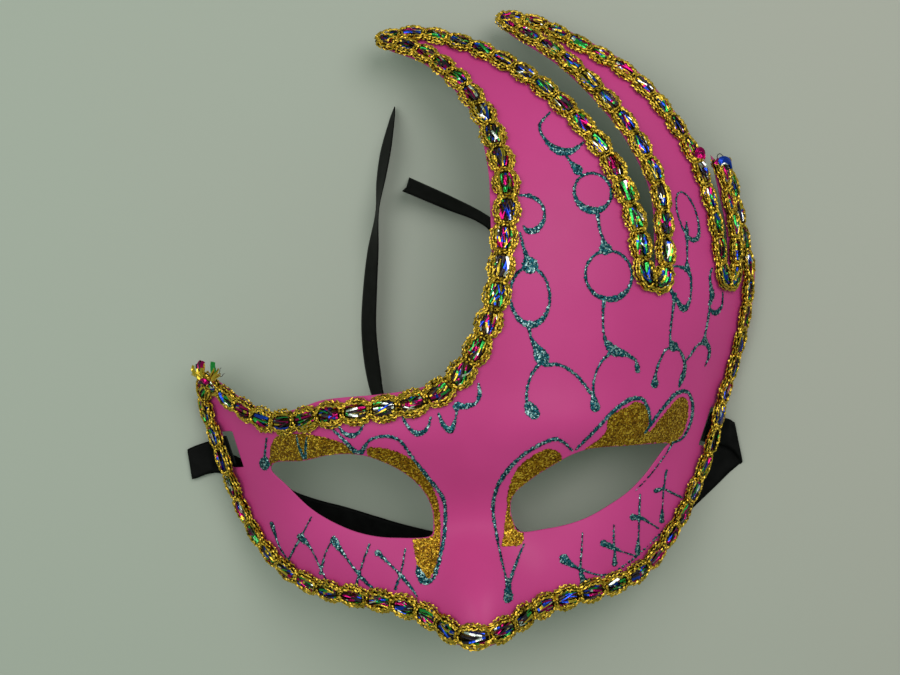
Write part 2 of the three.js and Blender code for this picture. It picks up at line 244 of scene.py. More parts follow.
def satin_material():
    n = Nodes("black_satin", (0.003, 0.003, 0.003), 0.5)
    n.set({"Specular IOR Level": 0.06})
    threads = n.add("TexWave", {"Vector": n.place, "Scale": 900.0, "Distortion": 2.0, "Detail": 1.0})
    n.mottle(300.0, 3.0, [(0.35, (0.001, 0.001, 0.001)), (0.7, (0.004, 0.004, 0.004))])
    n.relief(threads.outputs["Fac"], 0.2, 0.0001)
    return n.material


def yarn_material(name, dark, bright):
    n = Nodes(name, bright, 0.3, 1.0)
    # the colour is mottled at random between bright and dark; for the gold yarn the dark tone is painted
    # shade, like that in the gaps between stitches
    n.mottle(900.0, 3.0, [(0.32, dark), (0.46, bright)])
    n.uneven_gloss(1500.0, 2.0, 0.18, 0.42)
    n.relief(n.noise(2600.0), 0.5, 0.0002)
    return n.material


def foil_material(name, color, roughness, metallic):
    n = Nodes(name, color, roughness, metallic)
    n.relief(n.noise(1200.0), 0.4, 0.0002)
    return n.material


def glitter_material(name, stops, cell, spread):
    """Flakes of a cell's size in millimetres; spread is how far they lie from flat."""
    n = Nodes(name, stops[-1][1], 0.3, 0.6)
    n.set({"Specular IOR Level": 0.2})
    flakes = n.cells(1.0 / (cell * MM))
    pick = n.add("SeparateColor", {"Color": flakes})
    # the ramp's last tone is a painted glint on the few flakes that get it
    n.link(n.ramp(pick.outputs["Red"], stops), "Base Color")
    n.link(n.flakes(flakes, spread), "Normal")
    return n.material


# Ribbons

RIBBON_WIDTH = 10.0
RIBBON_THICKNESS = 0.4  # of the solid; it sets how high the middle of the ribbon lies
DRAWN_THICKNESS = 0.22
STEPS_PER_ROW = 8
BRAID_ROW = 7  # the row that lies under the braid

# x, y, height of the lower long edge, direction of the width in degrees and, where they aren't 0 and 1, its
# tilt in degrees and its widening at a slanting fold
LEFT_RIBBON = [
    (-83.9, -40.4, 0.85, 106), (-82.5, -40, 1.3, 106), (-81.6, -39.9, 3, 106), (-81, -39.8, 5, 106),
    (-80.8, -39.7, 7.2, 106), (-80.95, -39.7, 8.35, 106, -2), (-81.75, -39.85, 8.75, 106, -4),
    (-82.9, -40.1, 7.5, 106, -5), (-85.2, -40.7, 4.6, 106, -5), (-87.1, -41.3, 2.1, 106, -4),
    (-89.3, -41.9, 1.5, 105), (-92.1, -42.7, 1.5, 103), (-94.1, -43.4, 1.5, 99),
    (-95.2, -43.75, 1.25, 97, 0, 0.98), (-95.4, -43.95, 0.6, 95, 0, 0.94), (-94.2, -44, 0.1, 92, 0, 0.88),
    (-91.5, -44, 0.1, 86, 0, 0.74), (-85, -44, 0.1, 68, 0, 0.7), (-79.5, -47, 0.1, 60, 0, 0.78),
    (-75.3, -50.6, 0.1, 58, 0, 0.9), (-70, -54.7, 0.1, 60), (-64.5, -58.9, 0.1, 63), (-56.5, -62.3, 0.1, 68),
    (-47.8, -65.1, 0.1, 70), (-38.5, -68.5, 0.1, 70), (-29.6, -71.7, 0.1, 71), (-19.9, -74.7, 0.1, 73),
    (-12, -77.2, 0.1, 75), (-3, -79.5, 0.1, 80), (4, -80, 0.1, 95, 20), (9.5, -78, 0.1, 125, 50),
    (11.3, -74.5, 0.1, 175, 75), (8, -70.5, 0.1, 215, 78), (4.5, -65, 0.1, 205, 72),
    (3.2, -60.5, 0.1, 197, 64), (2.4, -55.5, 0.1, 190, 54), (2.1, -50, 0.1, 184, 43),
    (2.2, -44, 0.1, 180, 32), (2.8, -37, 0.1, 177, 21), (4, -28.5, 0.1, 174, 10), (6, -12.4, 0.1, 170, 4),
    (9.2, 3.6, 0.1, 172, 10), (10.6, 15.8, 0.1, 183, 35), (8.4, 25.5, 0.1, 212, 60),
    (3.2, 30.3, 0.1, 236, 65), (-7, 35.7, 0.1, 243, 58), (-20.5, 42.5, 0.1, 244, 55),
]
RIGHT_RIBBON = [
    (74, -41.5, 0.5, 67), (72.8, -41, 1.1, 67), (71.9, -40.6, 2.5, 67), (71.7, -40.5, 4.6, 67),
    (71.6, -40.4, 6.4, 67, -6), (71.65, -40.45, 7.5, 67, -9), (72.3, -40.7, 7.85, 67, -11),
    (73.4, -41.2, 6.6, 67, -12), (75, -41.8, 4.7, 68, -13), (76.8, -42.4, 2.5, 70, -8, 0.88),
    (79, -43.2, 1.5, 76, -4, 0.86), (80.6, -44.4, 1.7, 87, 0, 0.94), (81.7, -45.6, 1.6, 94, 0, 1.12),
    (82.3, -46.4, 1.2, 98, 0, 1.24), (82.3, -46.9, 0.6, 100, 0, 1.24), (81.6, -47.6, 0.1, 104, 0, 1.24),
    (80.2, -49.3, 0.1, 114), (76.1, -52.3, 0.1, 131), (71.7, -56.2, 0.1, 134), (64.9, -62, 0.1, 130),
    (54.8, -70.7, 0.1, 123), (42.2, -80, 0.1, 118, 4), (36, -82.8, 0.1, 113, 15), (30, -85, 0.1, 108, 28),
    (24, -86.8, 0.1, 103, 41), (18, -88, 0.1, 98, 53), (12.5, -88.6, 0.1, 92, 61), (7, -88.8, 0.1, 86, 65),
    (1.5, -88.2, 0.2, 77, 64), (-3, -86.8, 0.4, 66, 57), (-7.2, -84.6, 0.8, 54, 43),
    (-10.5, -81.8, 1.2, 42, 29), (-13, -78.7, 1.3, 31, 20), (-13.7, -75, 1.3, 22, 19),
    (-13.4, -71, 1, 17, 29), (-13.2, -67, 0.5, 16, 42), (-13.6, -62.5, 0.3, 20, 53),
    (-14.6, -57.7, 0.1, 25, 60), (-19.6, -47.4, 0.1, 26, 60), (-26.2, -36.8, 0.1, 23, 62),
    (-32.6, -26.3, 0.1, 15, 64), (-34.3, -16.5, 0.1, 6, 58), (-34.9, -3.6, 0.1, -1, 58),
    (-33.8, 9.2, 0.1, -6, 60), (-32.1, 21.9, 0.1, -8, 66), (-30.1, 34, 0.1, -10, 80),
    (-28.3, 44.2, 0.1, -12, 70), (-26.2, 53.8, 0.1, -14, 66, 0.95), (-23.6, 64.4, 0.1, -15, 66, 0.45),
]


def ribbon_frames(rows):
    """Middle line of a ribbon, the direction across it (as long as its widening) and its face's direction."""
    rows = np.array([row + (0, 1)[len(row) - 4:] for row in rows], float)
    t = np.linspace(0.0, len(rows) - 1, (len(rows) - 1) * STEPS_PER_ROW + 1)
    middle = spline(rows[:, :3], t)
    heading, tilt, widening = spline(rows[:, 3:], t, centripetal=False).T
    heading, tilt = np.radians(heading), np.radians(tilt)
    flat = np.cos(tilt)
    across = np.stack([np.cos(heading) * flat, np.sin(heading) * flat, np.sin(tilt)], axis=1)
    across *= widening[:, None]
    middle[:, 2] += np.abs(across[:, 2]) * RIBBON_WIDTH / 2 + RIBBON_THICKNESS / 2
    face = unit(np.cross(np.gradient(middle, axis=0), across))
    return middle, across, face


def make_ribbon(name, rows, material, point):
    """A thin band; point is how far the middle of its cut end reaches past the corners."""
    middle, across, face = ribbon_frames(rows)
    columns = np.linspace(-1.0, 1.0, 11)
    frayed = 0.35  # how far the threads of the cut end stick out or fall short
    selvedge = 0.45  # thickness at the long edges, as a share of that inside them
    along = unit(np.gradient(middle, axis=0))
    end_cut = np.zeros((len(middle), len(columns)))
    end_cut[-1] = point * (1 - np.abs(columns)) + random.uniform(-frayed, frayed, len(columns))
    surface = (
        middle[:, None] + across[:, None] * columns[None, :, None] * RIBBON_WIDTH / 2
        + along[:, None] * end_cut[..., None]
    )
    thickness = np.full(len(columns), DRAWN_THICKNESS)
    thickness[[0, -1]] *= selvedge
    half = face[:, None] * (thickness / 2)[None, :, None]
    ring = np.concatenate([surface + half, (surface - half)[:, ::-1]], axis=1)
    rings, sides = ring.shape[:2]
    faces = tube_faces(rings, sides)
    satin_name = name.replace("ribbon", "satin")
    piece = make_piece(satin_name, ring.reshape(-1, 3), faces, [material], [name])


satin = satin_material()
make_ribbon("ribbon_left", LEFT_RIBBON, satin, -1.6)
make_ribbon("ribbon_right", RIGHT_RIBBON, satin, 3.8)


# Shape of the face

WALL = 0.9
NOSE_LINE_X = -4.7
SIDE_FULLNESS = 2.6

# Swellings on both sides of the nose line: distance from it, y, height, reach across and up the face
SOCKET = (36, -53, -4.5, 26, 13)
BROW = (30, -36, 2.5, 26, 9)
NOSE_ROOT = (0, -66, -8.0, 20, 16)

# Sections across the face: y, half width on the table, height of the crown, rise and half width of the nose
SECTIONS = np.array([
    (-100, 66.5, 33.0, 17.0, 15.0),
    (-82, 72.0, 36.5, 12.5, 14.2),
    (-62, 78.0, 39.3, 1.5, 12.5),
    (-45, 83.0, 41.2, 0.0, 10.6),
    (-27, 86.6, 42.5, 0.0, 9.0),
    (-9, 92.8, 42.9, 0.0, 9.0),
    (9, 96.0, 42.4, 0.0, 9.0),
    (35, 97.0, 37.5, 0.0, 9.0),
    (65, 97.0, 25.9, 0.0, 9.0),
    (100, 95.0, 4.5, 0.0, 9.0),
])


def along_face(y):
    """The four measures of a section, interpolated smoothly along the face."""
    at, values = SECTIONS[:, 0], SECTIONS[:, 1:]
    before = np.maximum(np.arange(len(at)) - 1, 0)
    after = np.minimum(np.arange(len(at)) + 1, len(at) - 1)
    slope = (values[after] - values[before]) / (at[after] - at[before])[:, None]
    y = np.clip(y, at[0], at[-1])
    k = np.clip(np.searchsorted(at, y) - 1, 0, len(at) - 2)
    span = (at[k + 1] - at[k])[:, None]
    t = (y - at[k])[:, None] / span
    ease = span * t * (1 - t)
    rise = t * t * (3 - 2 * t)
    blend = values[k] + (values[k + 1] - values[k]) * rise + ease * ((1 - t) * slope[k] - t * slope[k + 1])
    return blend.T


def bump(u, v):
    """1 in the middle, nearly 0 at a distance of 2."""
    return np.exp(-u * u - v * v)


def front_height(x, y):
    x, y = np.atleast_1d(x).astype(float), np.atleast_1d(y).astype(float)
    half_width, crown, nose_rise, nose_half = along_face(y)
    side = np.abs(x - NOSE_LINE_X)
    dome = crown * (1 - (side / half_width) ** SIDE_FULLNESS)
    nose = nose_rise * bump(side / nose_half, 0)
    height = dome + nose
    for at_side, at_y, swelling, reach_x, reach_y in (SOCKET, BROW, NOSE_ROOT):
        height = height + swelling * bump((side - at_side) / reach_x, (y - at_y) / reach_y)
    return height


def front_normal(x, y, reach=0.5):
    slope_x = (front_height(x + reach, y) - front_height(x - reach, y)) / (2 * reach)
    slope_y = (front_height(x, y + reach) - front_height(x, y - reach)) / (2 * reach)
    return unit(np.stack([-slope_x, -slope_y, np.ones_like(slope_x)], axis=1))


def on_face(places):
    """The points of the front face over places on the table, and its directions there."""
    x, y = places[:, :2].T
    return np.column_stack([x, y, front_height(x, y)]), front_normal(x, y)


# The trimmed edge in four runs from tip to tip: x, y and how far in from the edge the braid runs

CRESCENT = [
    (-86.5, -15, 1), (-83, -16.8, 1.5), (-74.6, -22.7, 1.9), (-64.4, -27.3, 2.4), (-56, -26.3, 3.6),
    (-48, -24, 4.5), (-31, -23, 4.4), (-21, -22.1, 3.9), (-12.6, -19.7, 2.9), (-5.8, -13.3, 2.7),
    (0.9, 0.1, 2.9), (4.2, 13, 2.9), (4.7, 22, 3.9), (5, 31.5, 5), (5.2, 39.5, 4.6), (4.5, 48, 3.6),
    (3.1, 55.9, 2.8), (-3.6, 68.5, 2.6), (-12.1, 77.7, 2.4), (-17.4, 80.8, 2.4), (-22.5, 83.2, 1.9),
    (-27, 86.7, 1),
]
LONG_HORN = [
    (-27, 86.7, 1), (-21.7, 90.2, 2.6), (-15.6, 91.4, 3.2), (-8.2, 90.2, 3.3), (5.5, 84.6, 3.3),
    (20, 74.5, 3.2), (33.3, 60.8, 3.1), (44.2, 44.6, 3), (50.3, 27.8, 3), (52, 17.9, 3), (52.3, 11, 3),
    (53.1, 8.2, 2.9), (54, 11.1, 2.8), (54.2, 18, 2.6), (54.6, 27, 2.5), (53.7, 35.2, 2.5), (47.7, 50, 2.5),
    (39.2, 62.9, 2.4), (28.6, 75.6, 2.4), (22, 81.3, 2.5), (15.4, 86.8, 2), (11.6, 92.6, 1),
]
MIDDLE_HORN = [
    (11.6, 92.6, 1), (18, 94.2, 2.7), (24.4, 92.8, 3.3), (38.5, 84.1, 3.4), (53.1, 73.4, 3.4),
    (64.2, 60.2, 3.4), (72.6, 45, 3.3), (76, 32.8, 2.9), (77.7, 22, 2.5), (78.2, 11, 2.1), (79, 6.6, 1.9),
    (79.9, 11, 1.8), (80, 22, 2), (78.6, 31, 2), (77.4, 38, 2.3), (76.2, 45.2, 3.4),
]
LONG_SIDE = [
    (76.2, 45.2, -3), (79.4, 42, 0.5), (83.4, 37.8, 2), (85.2, 32.5, 2.8), (87.3, 25.8, 3.2),
    (88.9, 17.8, 3.3), (91, 9, 4.1), (90.3, 1.2, 4.1), (88.6, -7.6, 4.1), (85.8, -17.6, 4.1),
    (82.4, -26.6, 4), (76.7, -35.8, 3.2), (73.4, -45.4, 3), (70.4, -54.3, 3.1), (66.5, -62.4, 3.3),
    (61.8, -69.9, 3.5), (56.5, -76.3, 3.6), (50.3, -82.4, 3.6), (42.6, -86.2, 3.3), (33.8, -88, 3.2),
    (25, -89.2, 3), (17, -90.5, 3.1), (10, -92.5, 3.2), (3.8, -95, 3.4), (-4.5, -96.7, 3.3),
    (-12.5, -96.1, 3.3), (-17.7, -93.1, 3.2), (-23.5, -90.6, 3.2), (-31, -88.6, 3.3), (-40.4, -87, 3.3),
    (-49.7, -85.6, 3.4), (-58.8, -82.9, 3.5), (-67, -78.1, 3.6), (-73.2, -72, 3.6), (-78.1, -64.1, 3.5),
    (-81.3, -55.2, 3), (-83.2, -46.2, 2.8), (-85.7, -38, 3.1), (-90, -30.7, 4.2), (-91.4, -25.2, 4.2),
    (-89.6, -19.8, 2.2), (-86.5, -15, 1),
]
LEFT_EYE = [
    (-66.4, -45), (-65, -43), (-55, -42.2), (-46.7, -40.5), (-37.8, -40.6), (-31, -43), (-23.7, -47.7),
    (-19, -53.5), (-17.2, -59), (-17.2, -64), (-17.8, -66.2), (-28.4, -66.4), (-36.2, -65.4), (-44, -63),
    (-54, -57.6), (-62, -49.8),
]
RIGHT_EYE = [
    (56.5, -44), (55.5, -44.6), (48, -53), (42.5, -57.5), (35.8, -61), (29.6, -63.6), (23.9, -65.1),
    (17, -66.1), (8.2, -66.4), (7, -64), (6.3, -60), (7.2, -55.6), (14, -50.1), (19.7, -46.9), (25, -44.3),
    (30.4, -42.9), (42.7, -43), (55, -43.6),
]
LEFT_SLOT = [(-83.4, -33.4), (-79.2, -33.1), (-76.1, -44.6), (-80.2, -45)]
RIGHT_SLOT = [(72.5, -34.2), (74.7, -35), (69.8, -46.5), (67.4, -45.7)]

RUNS = {"crescent": CRESCENT, "long_horn": LONG_HORN, "middle_horn": MIDDLE_HORN, "long_side": LONG_SIDE}


# Shell

EDGE_STEP = 0.9  # between the points of an edge
GRID_STEP = 2.0  # between the points inside
GRID_MARGIN = 1.1  # points inside keep at least this far from an edge
ROW_STEP = 0.866  # between the rows of an even grid, as a share of its step
BEVEL = 0.2
LEAST_RIM, LEAST_WALL = 0.08, 0.02  # height and thickness of the rim where it comes down to the table


def inward(ring):
    """Unit direction towards the plastic at each point of a ring that keeps the plastic on its right."""
    along = unit(np.roll(ring, -1, axis=0) - np.roll(ring, 1, axis=0))
    return np.stack([along[:, 1], -along[:, 0]], axis=1)


def onto_table(ring, least=0.1, step=0.05, steps=60):
    """Moves the points that would dip under the table inward until the front face is clear of it."""
    ring = ring.copy()
    towards = inward(ring)
    for _ in range(steps):
        low = front_height(*ring.T) < least
        ring[low] += towards[low] * step
    return ring


def closed_ring(points, step, smooth=True):
    ring = dense(points, closed=True) if smooth else np.vstack([points, points[:1]]).astype(float)
    return evenly(ring, step)[:-1]


def inside(points, ring):
    """Which points lie inside a ring, by counting crossings."""
    x, y = points[:, 0][:, None], points[:, 1][:, None]
    x0, y0 = ring[:, 0][None], ring[:, 1][None]
    x1, y1 = np.roll(x0, -1), np.roll(y0, -1)
    crosses = (y0 > y) != (y1 > y)
    with np.errstate(divide="ignore", invalid="ignore"):
        left = x < (x1 - x0) * (y - y0) / (y1 - y0) + x0
    return (crosses & left).sum(axis=1) % 2 == 1


def shell_rings():
    """The edge and the openings, each with the plastic on its right."""
    edge = np.vstack([evenly(dense([p[:2] for p in run]), EDGE_STEP)[:-1] for run in RUNS.values()])
    openings = [closed_ring(eye, EDGE_STEP) for eye in (LEFT_EYE, RIGHT_EYE)]
    openings += [closed_ring(slot, EDGE_STEP, smooth=False) for slot in (LEFT_SLOT, RIGHT_SLOT)]
    rings = [onto_table(edge)]
    for ring in openings:
        # an opening keeps the plastic on its right when it runs anticlockwise
        area = 0.5 * np.sum(ring[:, 0] * np.roll(ring[:, 1], -1) - np.roll(ring[:, 0], -1) * ring[:, 1])
        rings.append(ring if area > 0 else ring[::-1])
    return rings


def even_grid(left, right, low, high, step):
    """Places in rows, every second row moved by half a step, so that they make even triangles."""
    xs, ys = np.meshgrid(np.arange(left, right, step), np.arange(low, high, step * ROW_STEP))
    xs[1::2] += step / 2
    return xs, ys


def on_plastic(points, rings):
    keep = inside(points, rings[0])
    for ring in rings[1:]:
        keep &= ~inside(points, ring)
    return keep


def triangulate(rings, inner):
    """The plastic seen from above: points, triangles, and where each inner ring's points are among them."""
    grid = np.stack([places.ravel() for places in even_grid(-96, 96, -99, 99, GRID_STEP)], axis=1)
    keep = on_plastic(grid, rings)
    for ring in rings:
        keep &= np.min(np.linalg.norm(grid[:, None] - ring[None, ::2], axis=2), axis=1) > GRID_MARGIN
    starts = [0, *np.cumsum([len(ring) for ring in inner]).tolist()]
    spans = list(zip(starts, starts[1:]))
    edges = [
        (first + i, first + (i + 1) % (last - first)) for first, last in spans for i in range(last - first)
    ]
    flat = [Vector(p) for p in np.vstack(inner + [grid[keep]])]
    points, _, faces, origin, _, _ = delaunay_2d_cdt(flat, edges, [], 0, 1e-6)
    points, faces = np.array([tuple(p) for p in points]), np.array(faces)
    faces = faces[on_plastic(points[faces].mean(axis=1), inner)]
    place = {old: new for new, olds in enumerate(origin) for old in olds}
    return points, faces, [np.array([place[i] for i in range(first, last)]) for first, last in spans]


def make_shell(materials):
    rings = shell_rings()
    inner = [ring + inward(ring) * BEVEL for ring in rings]
    points, faces, rims = triangulate(rings, inner)
    top, normal = on_face(points)
    bottom = top.copy()
    bottom[:, 2] = np.maximum(top[:, 2] - WALL / normal[:, 2], 0.0)
    vertices, total = [top, bottom], len(points)
    all_faces = faces.tolist() + (faces[:, ::-1] + total).tolist()
    first = 2 * total
    for ring, rim in zip(rings, rims):
        upper, direction = on_face(ring)
        lower = upper.copy()
        lower[:, 2] = np.maximum(lower[:, 2] - WALL / direction[:, 2] + BEVEL, 0.0)
        upper[:, 2] = np.maximum(upper[:, 2] - BEVEL, LEAST_RIM)
        lower[:, 2] = np.minimum(lower[:, 2], upper[:, 2] - LEAST_WALL)
        vertices += [upper, lower]
        here = np.arange(len(ring))
        after = (here + 1) % len(ring)
        loops = (rim, first + here, first + len(ring) + here, total + rim)
        for one, two in zip(loops, loops[1:]):
            all_faces += np.stack([one, one[after], two[after], two], axis=1).tolist()
        first += 2 * len(ring)
    inner_side = np.zeros(len(all_faces), int)
    inner_side[len(faces):2 * len(faces)] = 1
    piece = make_piece(
        "shell", np.vstack(vertices), all_faces, materials, ["mask_shell"], face_material=inner_side,
    )
    # the two big faces take the smooth direction of the face shape; the rims keep their own
    directions = np.zeros((len(piece.data.loops), 3))
    directions[:faces.size] = normal[faces.ravel()]
    directions[faces.size:2 * faces.size] = -normal[faces[:, ::-1].ravel()]
    piece.data.normals_split_custom_set(directions.tolist())


make_shell([plastic_material(), bare_material()])


# Glitter: lines drawn with a tube of glitter glue, and patches of gold glitter

# Each line is a list of x, y and half its width
TEAL_LINES = [
    [(25, 59, 0.5), (21.5, 54.5, 0.6), (23, 50, 0.7), (26.5, 46.7, 1.4), (30.5, 46.3, 1.1), (34.5, 49, 0.5)],
    [(28.5, 45.5, 0.6), (30, 43, 0.6), (32, 40.3, 1.7)],
    [(36.8, 27, 0.8), (37.2, 22, 0.6), (38, 18.5, 0.8), (38.5, 16.2, 2.0)],
    [(37, 1.2, 0.8), (36.4, -4, 0.5), (36.7, -10.5, 0.7), (39.5, -14.2, 1.7), (43, -15.4, 0.9),
     (46, -17.5, 0.6), (46.5, -20.5, 1.1)],
    [(38.5, -14.3, 0.8), (35, -17.5, 0.5), (32.8, -22, 0.5), (32.2, -26.5, 0.7), (32.5, -30.3, 1.6)],
    [(13.9, 33.3, 0.5), (16.8, 33, 0.8), (19.7, 31, 0.7), (20.9, 27.8, 0.6), (20, 24.6, 0.8), (18, 22.7, 1.1),
     (15.6, 22.5, 0.9), (14.3, 24, 0.5)],
    [(13.3, 22, 0.5), (13.8, 19, 0.6), (14.7, 15, 0.9), (15.6, 12.3, 2.4)],
    [(14.3, -4.5, 0.9), (14.4, -8, 0.6), (15.6, -11, 1.0), (17.5, -14.9, 2.4)],
    [(17, -16.3, 0.7), (14.2, -19.6, 0.6), (12.6, -24, 0.6), (12.4, -27.6, 0.8), (13.3, -29.6, 1.8),
     (14.3, -31.1, 2.1)],
    [(18.2, -17, 0.8), (22.5, -17.3, 0.6), (27.5, -20.7, 0.6), (31.3, -26, 0.6)],
    [(65.4, 24, 0.3), (65.3, 21, 0.8), (65, 16, 0.5), (64.7, 12, 0.5), (64.5, 9.3, 1.2)],
    [(64.3, 9.5, 0.8), (61.3, 10.2, 0.5), (58.4, 10, 0.4)],
    [(64.6, 9, 0.9), (65.6, 6.9, 0.6), (65.6, 4, 0.5), (65, 0, 0.5), (62.8, -2.8, 1.1), (60.7, -0.4, 0.8),
     (59, 2.2, 0.8), (57.7, 5, 0.8)],
    [(59.7, 1.6, 0.9), (59.2, -1.6, 0.6), (58, -8, 0.5), (57.7, -12, 0.6), (58.7, -14, 1.7)],
    [(58, -14.3, 0.7), (56.1, -14.8, 0.5), (53.8, -18.3, 0.5), (52.2, -22.7, 0.7), (52, -25, 1.4)],
    [(59.5, -14.5, 0.8), (60.5, -15.1, 0.6), (62, -17.5, 0.6), (62.6, -20.9, 0.7), (61.5, -24, 1.0),
     (60.3, -26.6, 0.4)],
    [(73.5, 9.5, 0.5), (72.6, 7, 0.5), (72.8, 4, 0.7), (73.1, 1.2, 1.1), (72.1, -2.8, 0.5), (74.1, -4.5, 1.0),
     (76.7, -2.3, 0.5), (77.2, 1.7, 0.4)],
    [(72.1, -3, 0.6), (71.2, -6.8, 0.5), (70.1, -11.5, 0.6), (69.9, -13.2, 1.3)],
    [(69, -13.5, 0.7), (67.1, -14.2, 0.5), (64.7, -17, 0.5), (62.9, -18.6, 0.4)],
    [(70.5, -13.8, 0.9), (71.4, -14.8, 0.8), (71.7, -17.5, 0.7), (70.1, -20.8, 0.3)],
    [(-43.7, -30.8, 0.5), (-41.8, -33.8, 0.7), (-39.4, -34.7, 0.9), (-37, -33.5, 0.6), (-35.6, -31, 0.5)],
    [(-24, -30, 0.5), (-23.4, -31.3, 0.6), (-21.7, -34, 0.7), (-19.5, -35, 1.0), (-17, -33.3, 0.6),
     (-16, -30.5, 0.5)],
    [(-13.5, -29.5, 0.5), (-12.2, -33, 0.9), (-10.4, -34.5, 1.1), (-8.9, -31.9, 0.6), (-8.3, -29.2, 0.6),
     (-8.2, -27.6, 1.2), (-5.2, -27.8, 1.0), (-2.6, -27, 0.7), (-1.3, -24.5, 0.8), (-1.4, -21.5, 0.5)],
    [(-68.6, -44, 1.2), (-68.3, -43.3, 1.9), (-68, -41.5, 0.8), (-67.6, -39, 0.5), (-66.7, -35, 0.4)],
    [(-56.6, -34.5, 0.4), (-56, -38, 0.6), (-55, -41.3, 0.6)],
    [(-53.4, -35, 0.4), (-54, -38, 0.6), (-54.3, -41.3, 0.6)],
    [(-45.9, -31.7, 0.5), (-41.9, -35.9, 0.6), (-37.7, -40, 0.9), (-34.1, -36.2, 0.6), (-29.6, -35.2, 0.6),
     (-25.5, -36.6, 0.6), (-21.8, -42.2, 0.6), (-17.2, -49.4, 0.7), (-13.7, -55.3, 0.7), (-13.5, -62.7, 0.7),
     (-14.8, -69.8, 0.7), (-16.8, -76, 0.7), (-18.4, -78.9, 0.7), (-20.6, -78.9, 1.4), (-21.9, -76.8, 1.2),
     (-22.5, -74.6, 0.4)],
    [(57.7, -43.9, 0.4), (56.1, -46, 0.35), (52, -50.8, 0.3), (48.7, -54.2, 0.3), (44.9, -57.3, 0.25)],
    [(3.7, -84, 1.7), (3.6, -80.4, 0.7), (2.5, -74, 0.5), (1.6, -67.1, 0.6), (1, -59, 0.7), (2.2, -53.5, 0.7),
     (5.5, -47.9, 0.8), (10.2, -43.4, 0.7), (15.3, -40.4, 0.7), (20.4, -38.9, 0.7), (23, -40.4, 0.6),
     (25.1, -42.7, 0.5)],
    [(3.7, -83, 1.2), (4.2, -80.5, 0.8), (6.4, -76, 0.6), (9.6, -70.2, 0.4)],
    [(26.4, -42.5, 0.5), (33.5, -36, 0.7), (39, -31.4, 0.7), (44, -28.9, 0.8), (47.6, -29.2, 0.7),
     (49.4, -32.4, 0.7), (49.9, -37.3, 0.5)],
    [(48.2, -39.3, 0.6), (54.2, -32.8, 0.7), (59.7, -28.4, 0.8), (63.3, -28.4, 0.7), (65.1, -32.1, 0.7),
     (64.2, -38.3, 0.6), (61.1, -42.7, 0.5), (57.2, -43.8, 0.4)],
    [(-67.8, -62.6, 1.0), (-67, -65.5, 0.6), (-65.8, -69.5, 0.4), (-62.9, -74, 0.4), (-56.8, -81, 0.4)],
    [(-65.1, -77, 0.5), (-59.4, -68.2, 0.5), (-54.1, -59.7, 0.3)],
    [(-58.2, -66.1, 1.5), (-55.1, -69.3, 0.5), (-51.9, -76.6, 0.4), (-49.1, -81.8, 0.4)],
    [(-52.5, -77.3, 0.6), (-50.4, -71, 0.4), (-47.3, -65.5, 0.4)],
    [(-47.4, -67, 1.5), (-43.7, -72.2, 0.5), (-39.4, -78.1, 0.7), (-35.1, -82.6, 0.4)],
    [(-41.3, -80.3, 0.6), (-39.1, -74.1, 0.4), (-36.5, -68, 0.5)],
    [(-34, -70.6, 1.1), (-30.6, -74.1, 0.5), (-27, -78, 0.7), (-22.8, -83.6, 0.4)],
    [(-29.4, -81.3, 0.6), (-27.1, -75.3, 0.4), (-25.8, -69.7, 0.4)],
    [(27.3, -68.1, 0.3), (26.8, -72.8, 0.4), (26.1, -79.2, 0.6), (27, -83, 1.3)],
    [(21.1, -75.2, 1.6), (23.3, -77.2, 0.9), (27.3, -79.5, 0.5), (31.5, -81.3, 0.4), (35.3, -81.7, 0.4)],
    [(37.3, -66.3, 0.3), (36.9, -71.5, 0.5), (37.1, -75, 0.4), (36.9, -78.6, 1.0)],
    [(33.6, -71.8, 1.2), (36.5, -73.5, 0.9), (39.9, -75.5, 0.4), (43.9, -77.2, 0.4)],
    [(46.3, -58.7, 0.4), (45.6, -65.5, 0.5), (45.1, -71.1, 0.4), (44.6, -76.1, 1.1)],
    [(43.5, -65.3, 1.1), (46.2, -65.9, 0.8), (49, -67.8, 0.4), (52, -70, 0.4)],
    [(55.5, -52.3, 0.5), (54.4, -57.9, 0.4), (53.7, -63.3, 0.4), (53.3, -67.8, 1.1)],
    [(51.6, -58.2, 1.0), (54.4, -58, 0.5), (57.2, -59.6, 0.5), (60.8, -61.7, 0.5)],
]

# A row of dots: the places that it passes, the number of dots and their radius
DOTTED_ROW = [
    (27.5, -82.8), (33, -82.2), (38.4, -80.4), (44.8, -77.1), (49.1, -74.2), (53.4, -71.3), (56.4, -69.5),
]
DOTS, DOT_RADIUS = 26, 0.55

# Rings: x, y, radius across, radius up, turn in degrees, half the width of the line where it is thinnest and
# where it is thickest, direction of the thickest part in degrees
TEAL_RINGS = [
    (36, 33.5, 5.7, 5.7, 0, 0.6, 1.3, -105),
    (39, 8.4, 7.2, 7.2, 0, 0.6, 1.1, -80),
    (15, 3.3, 5.8, 8.4, 0, 0.6, 1.2, -90),
    (66, 25.7, 3.2, 7.7, 15, 0.4, 0.9, -85),
]

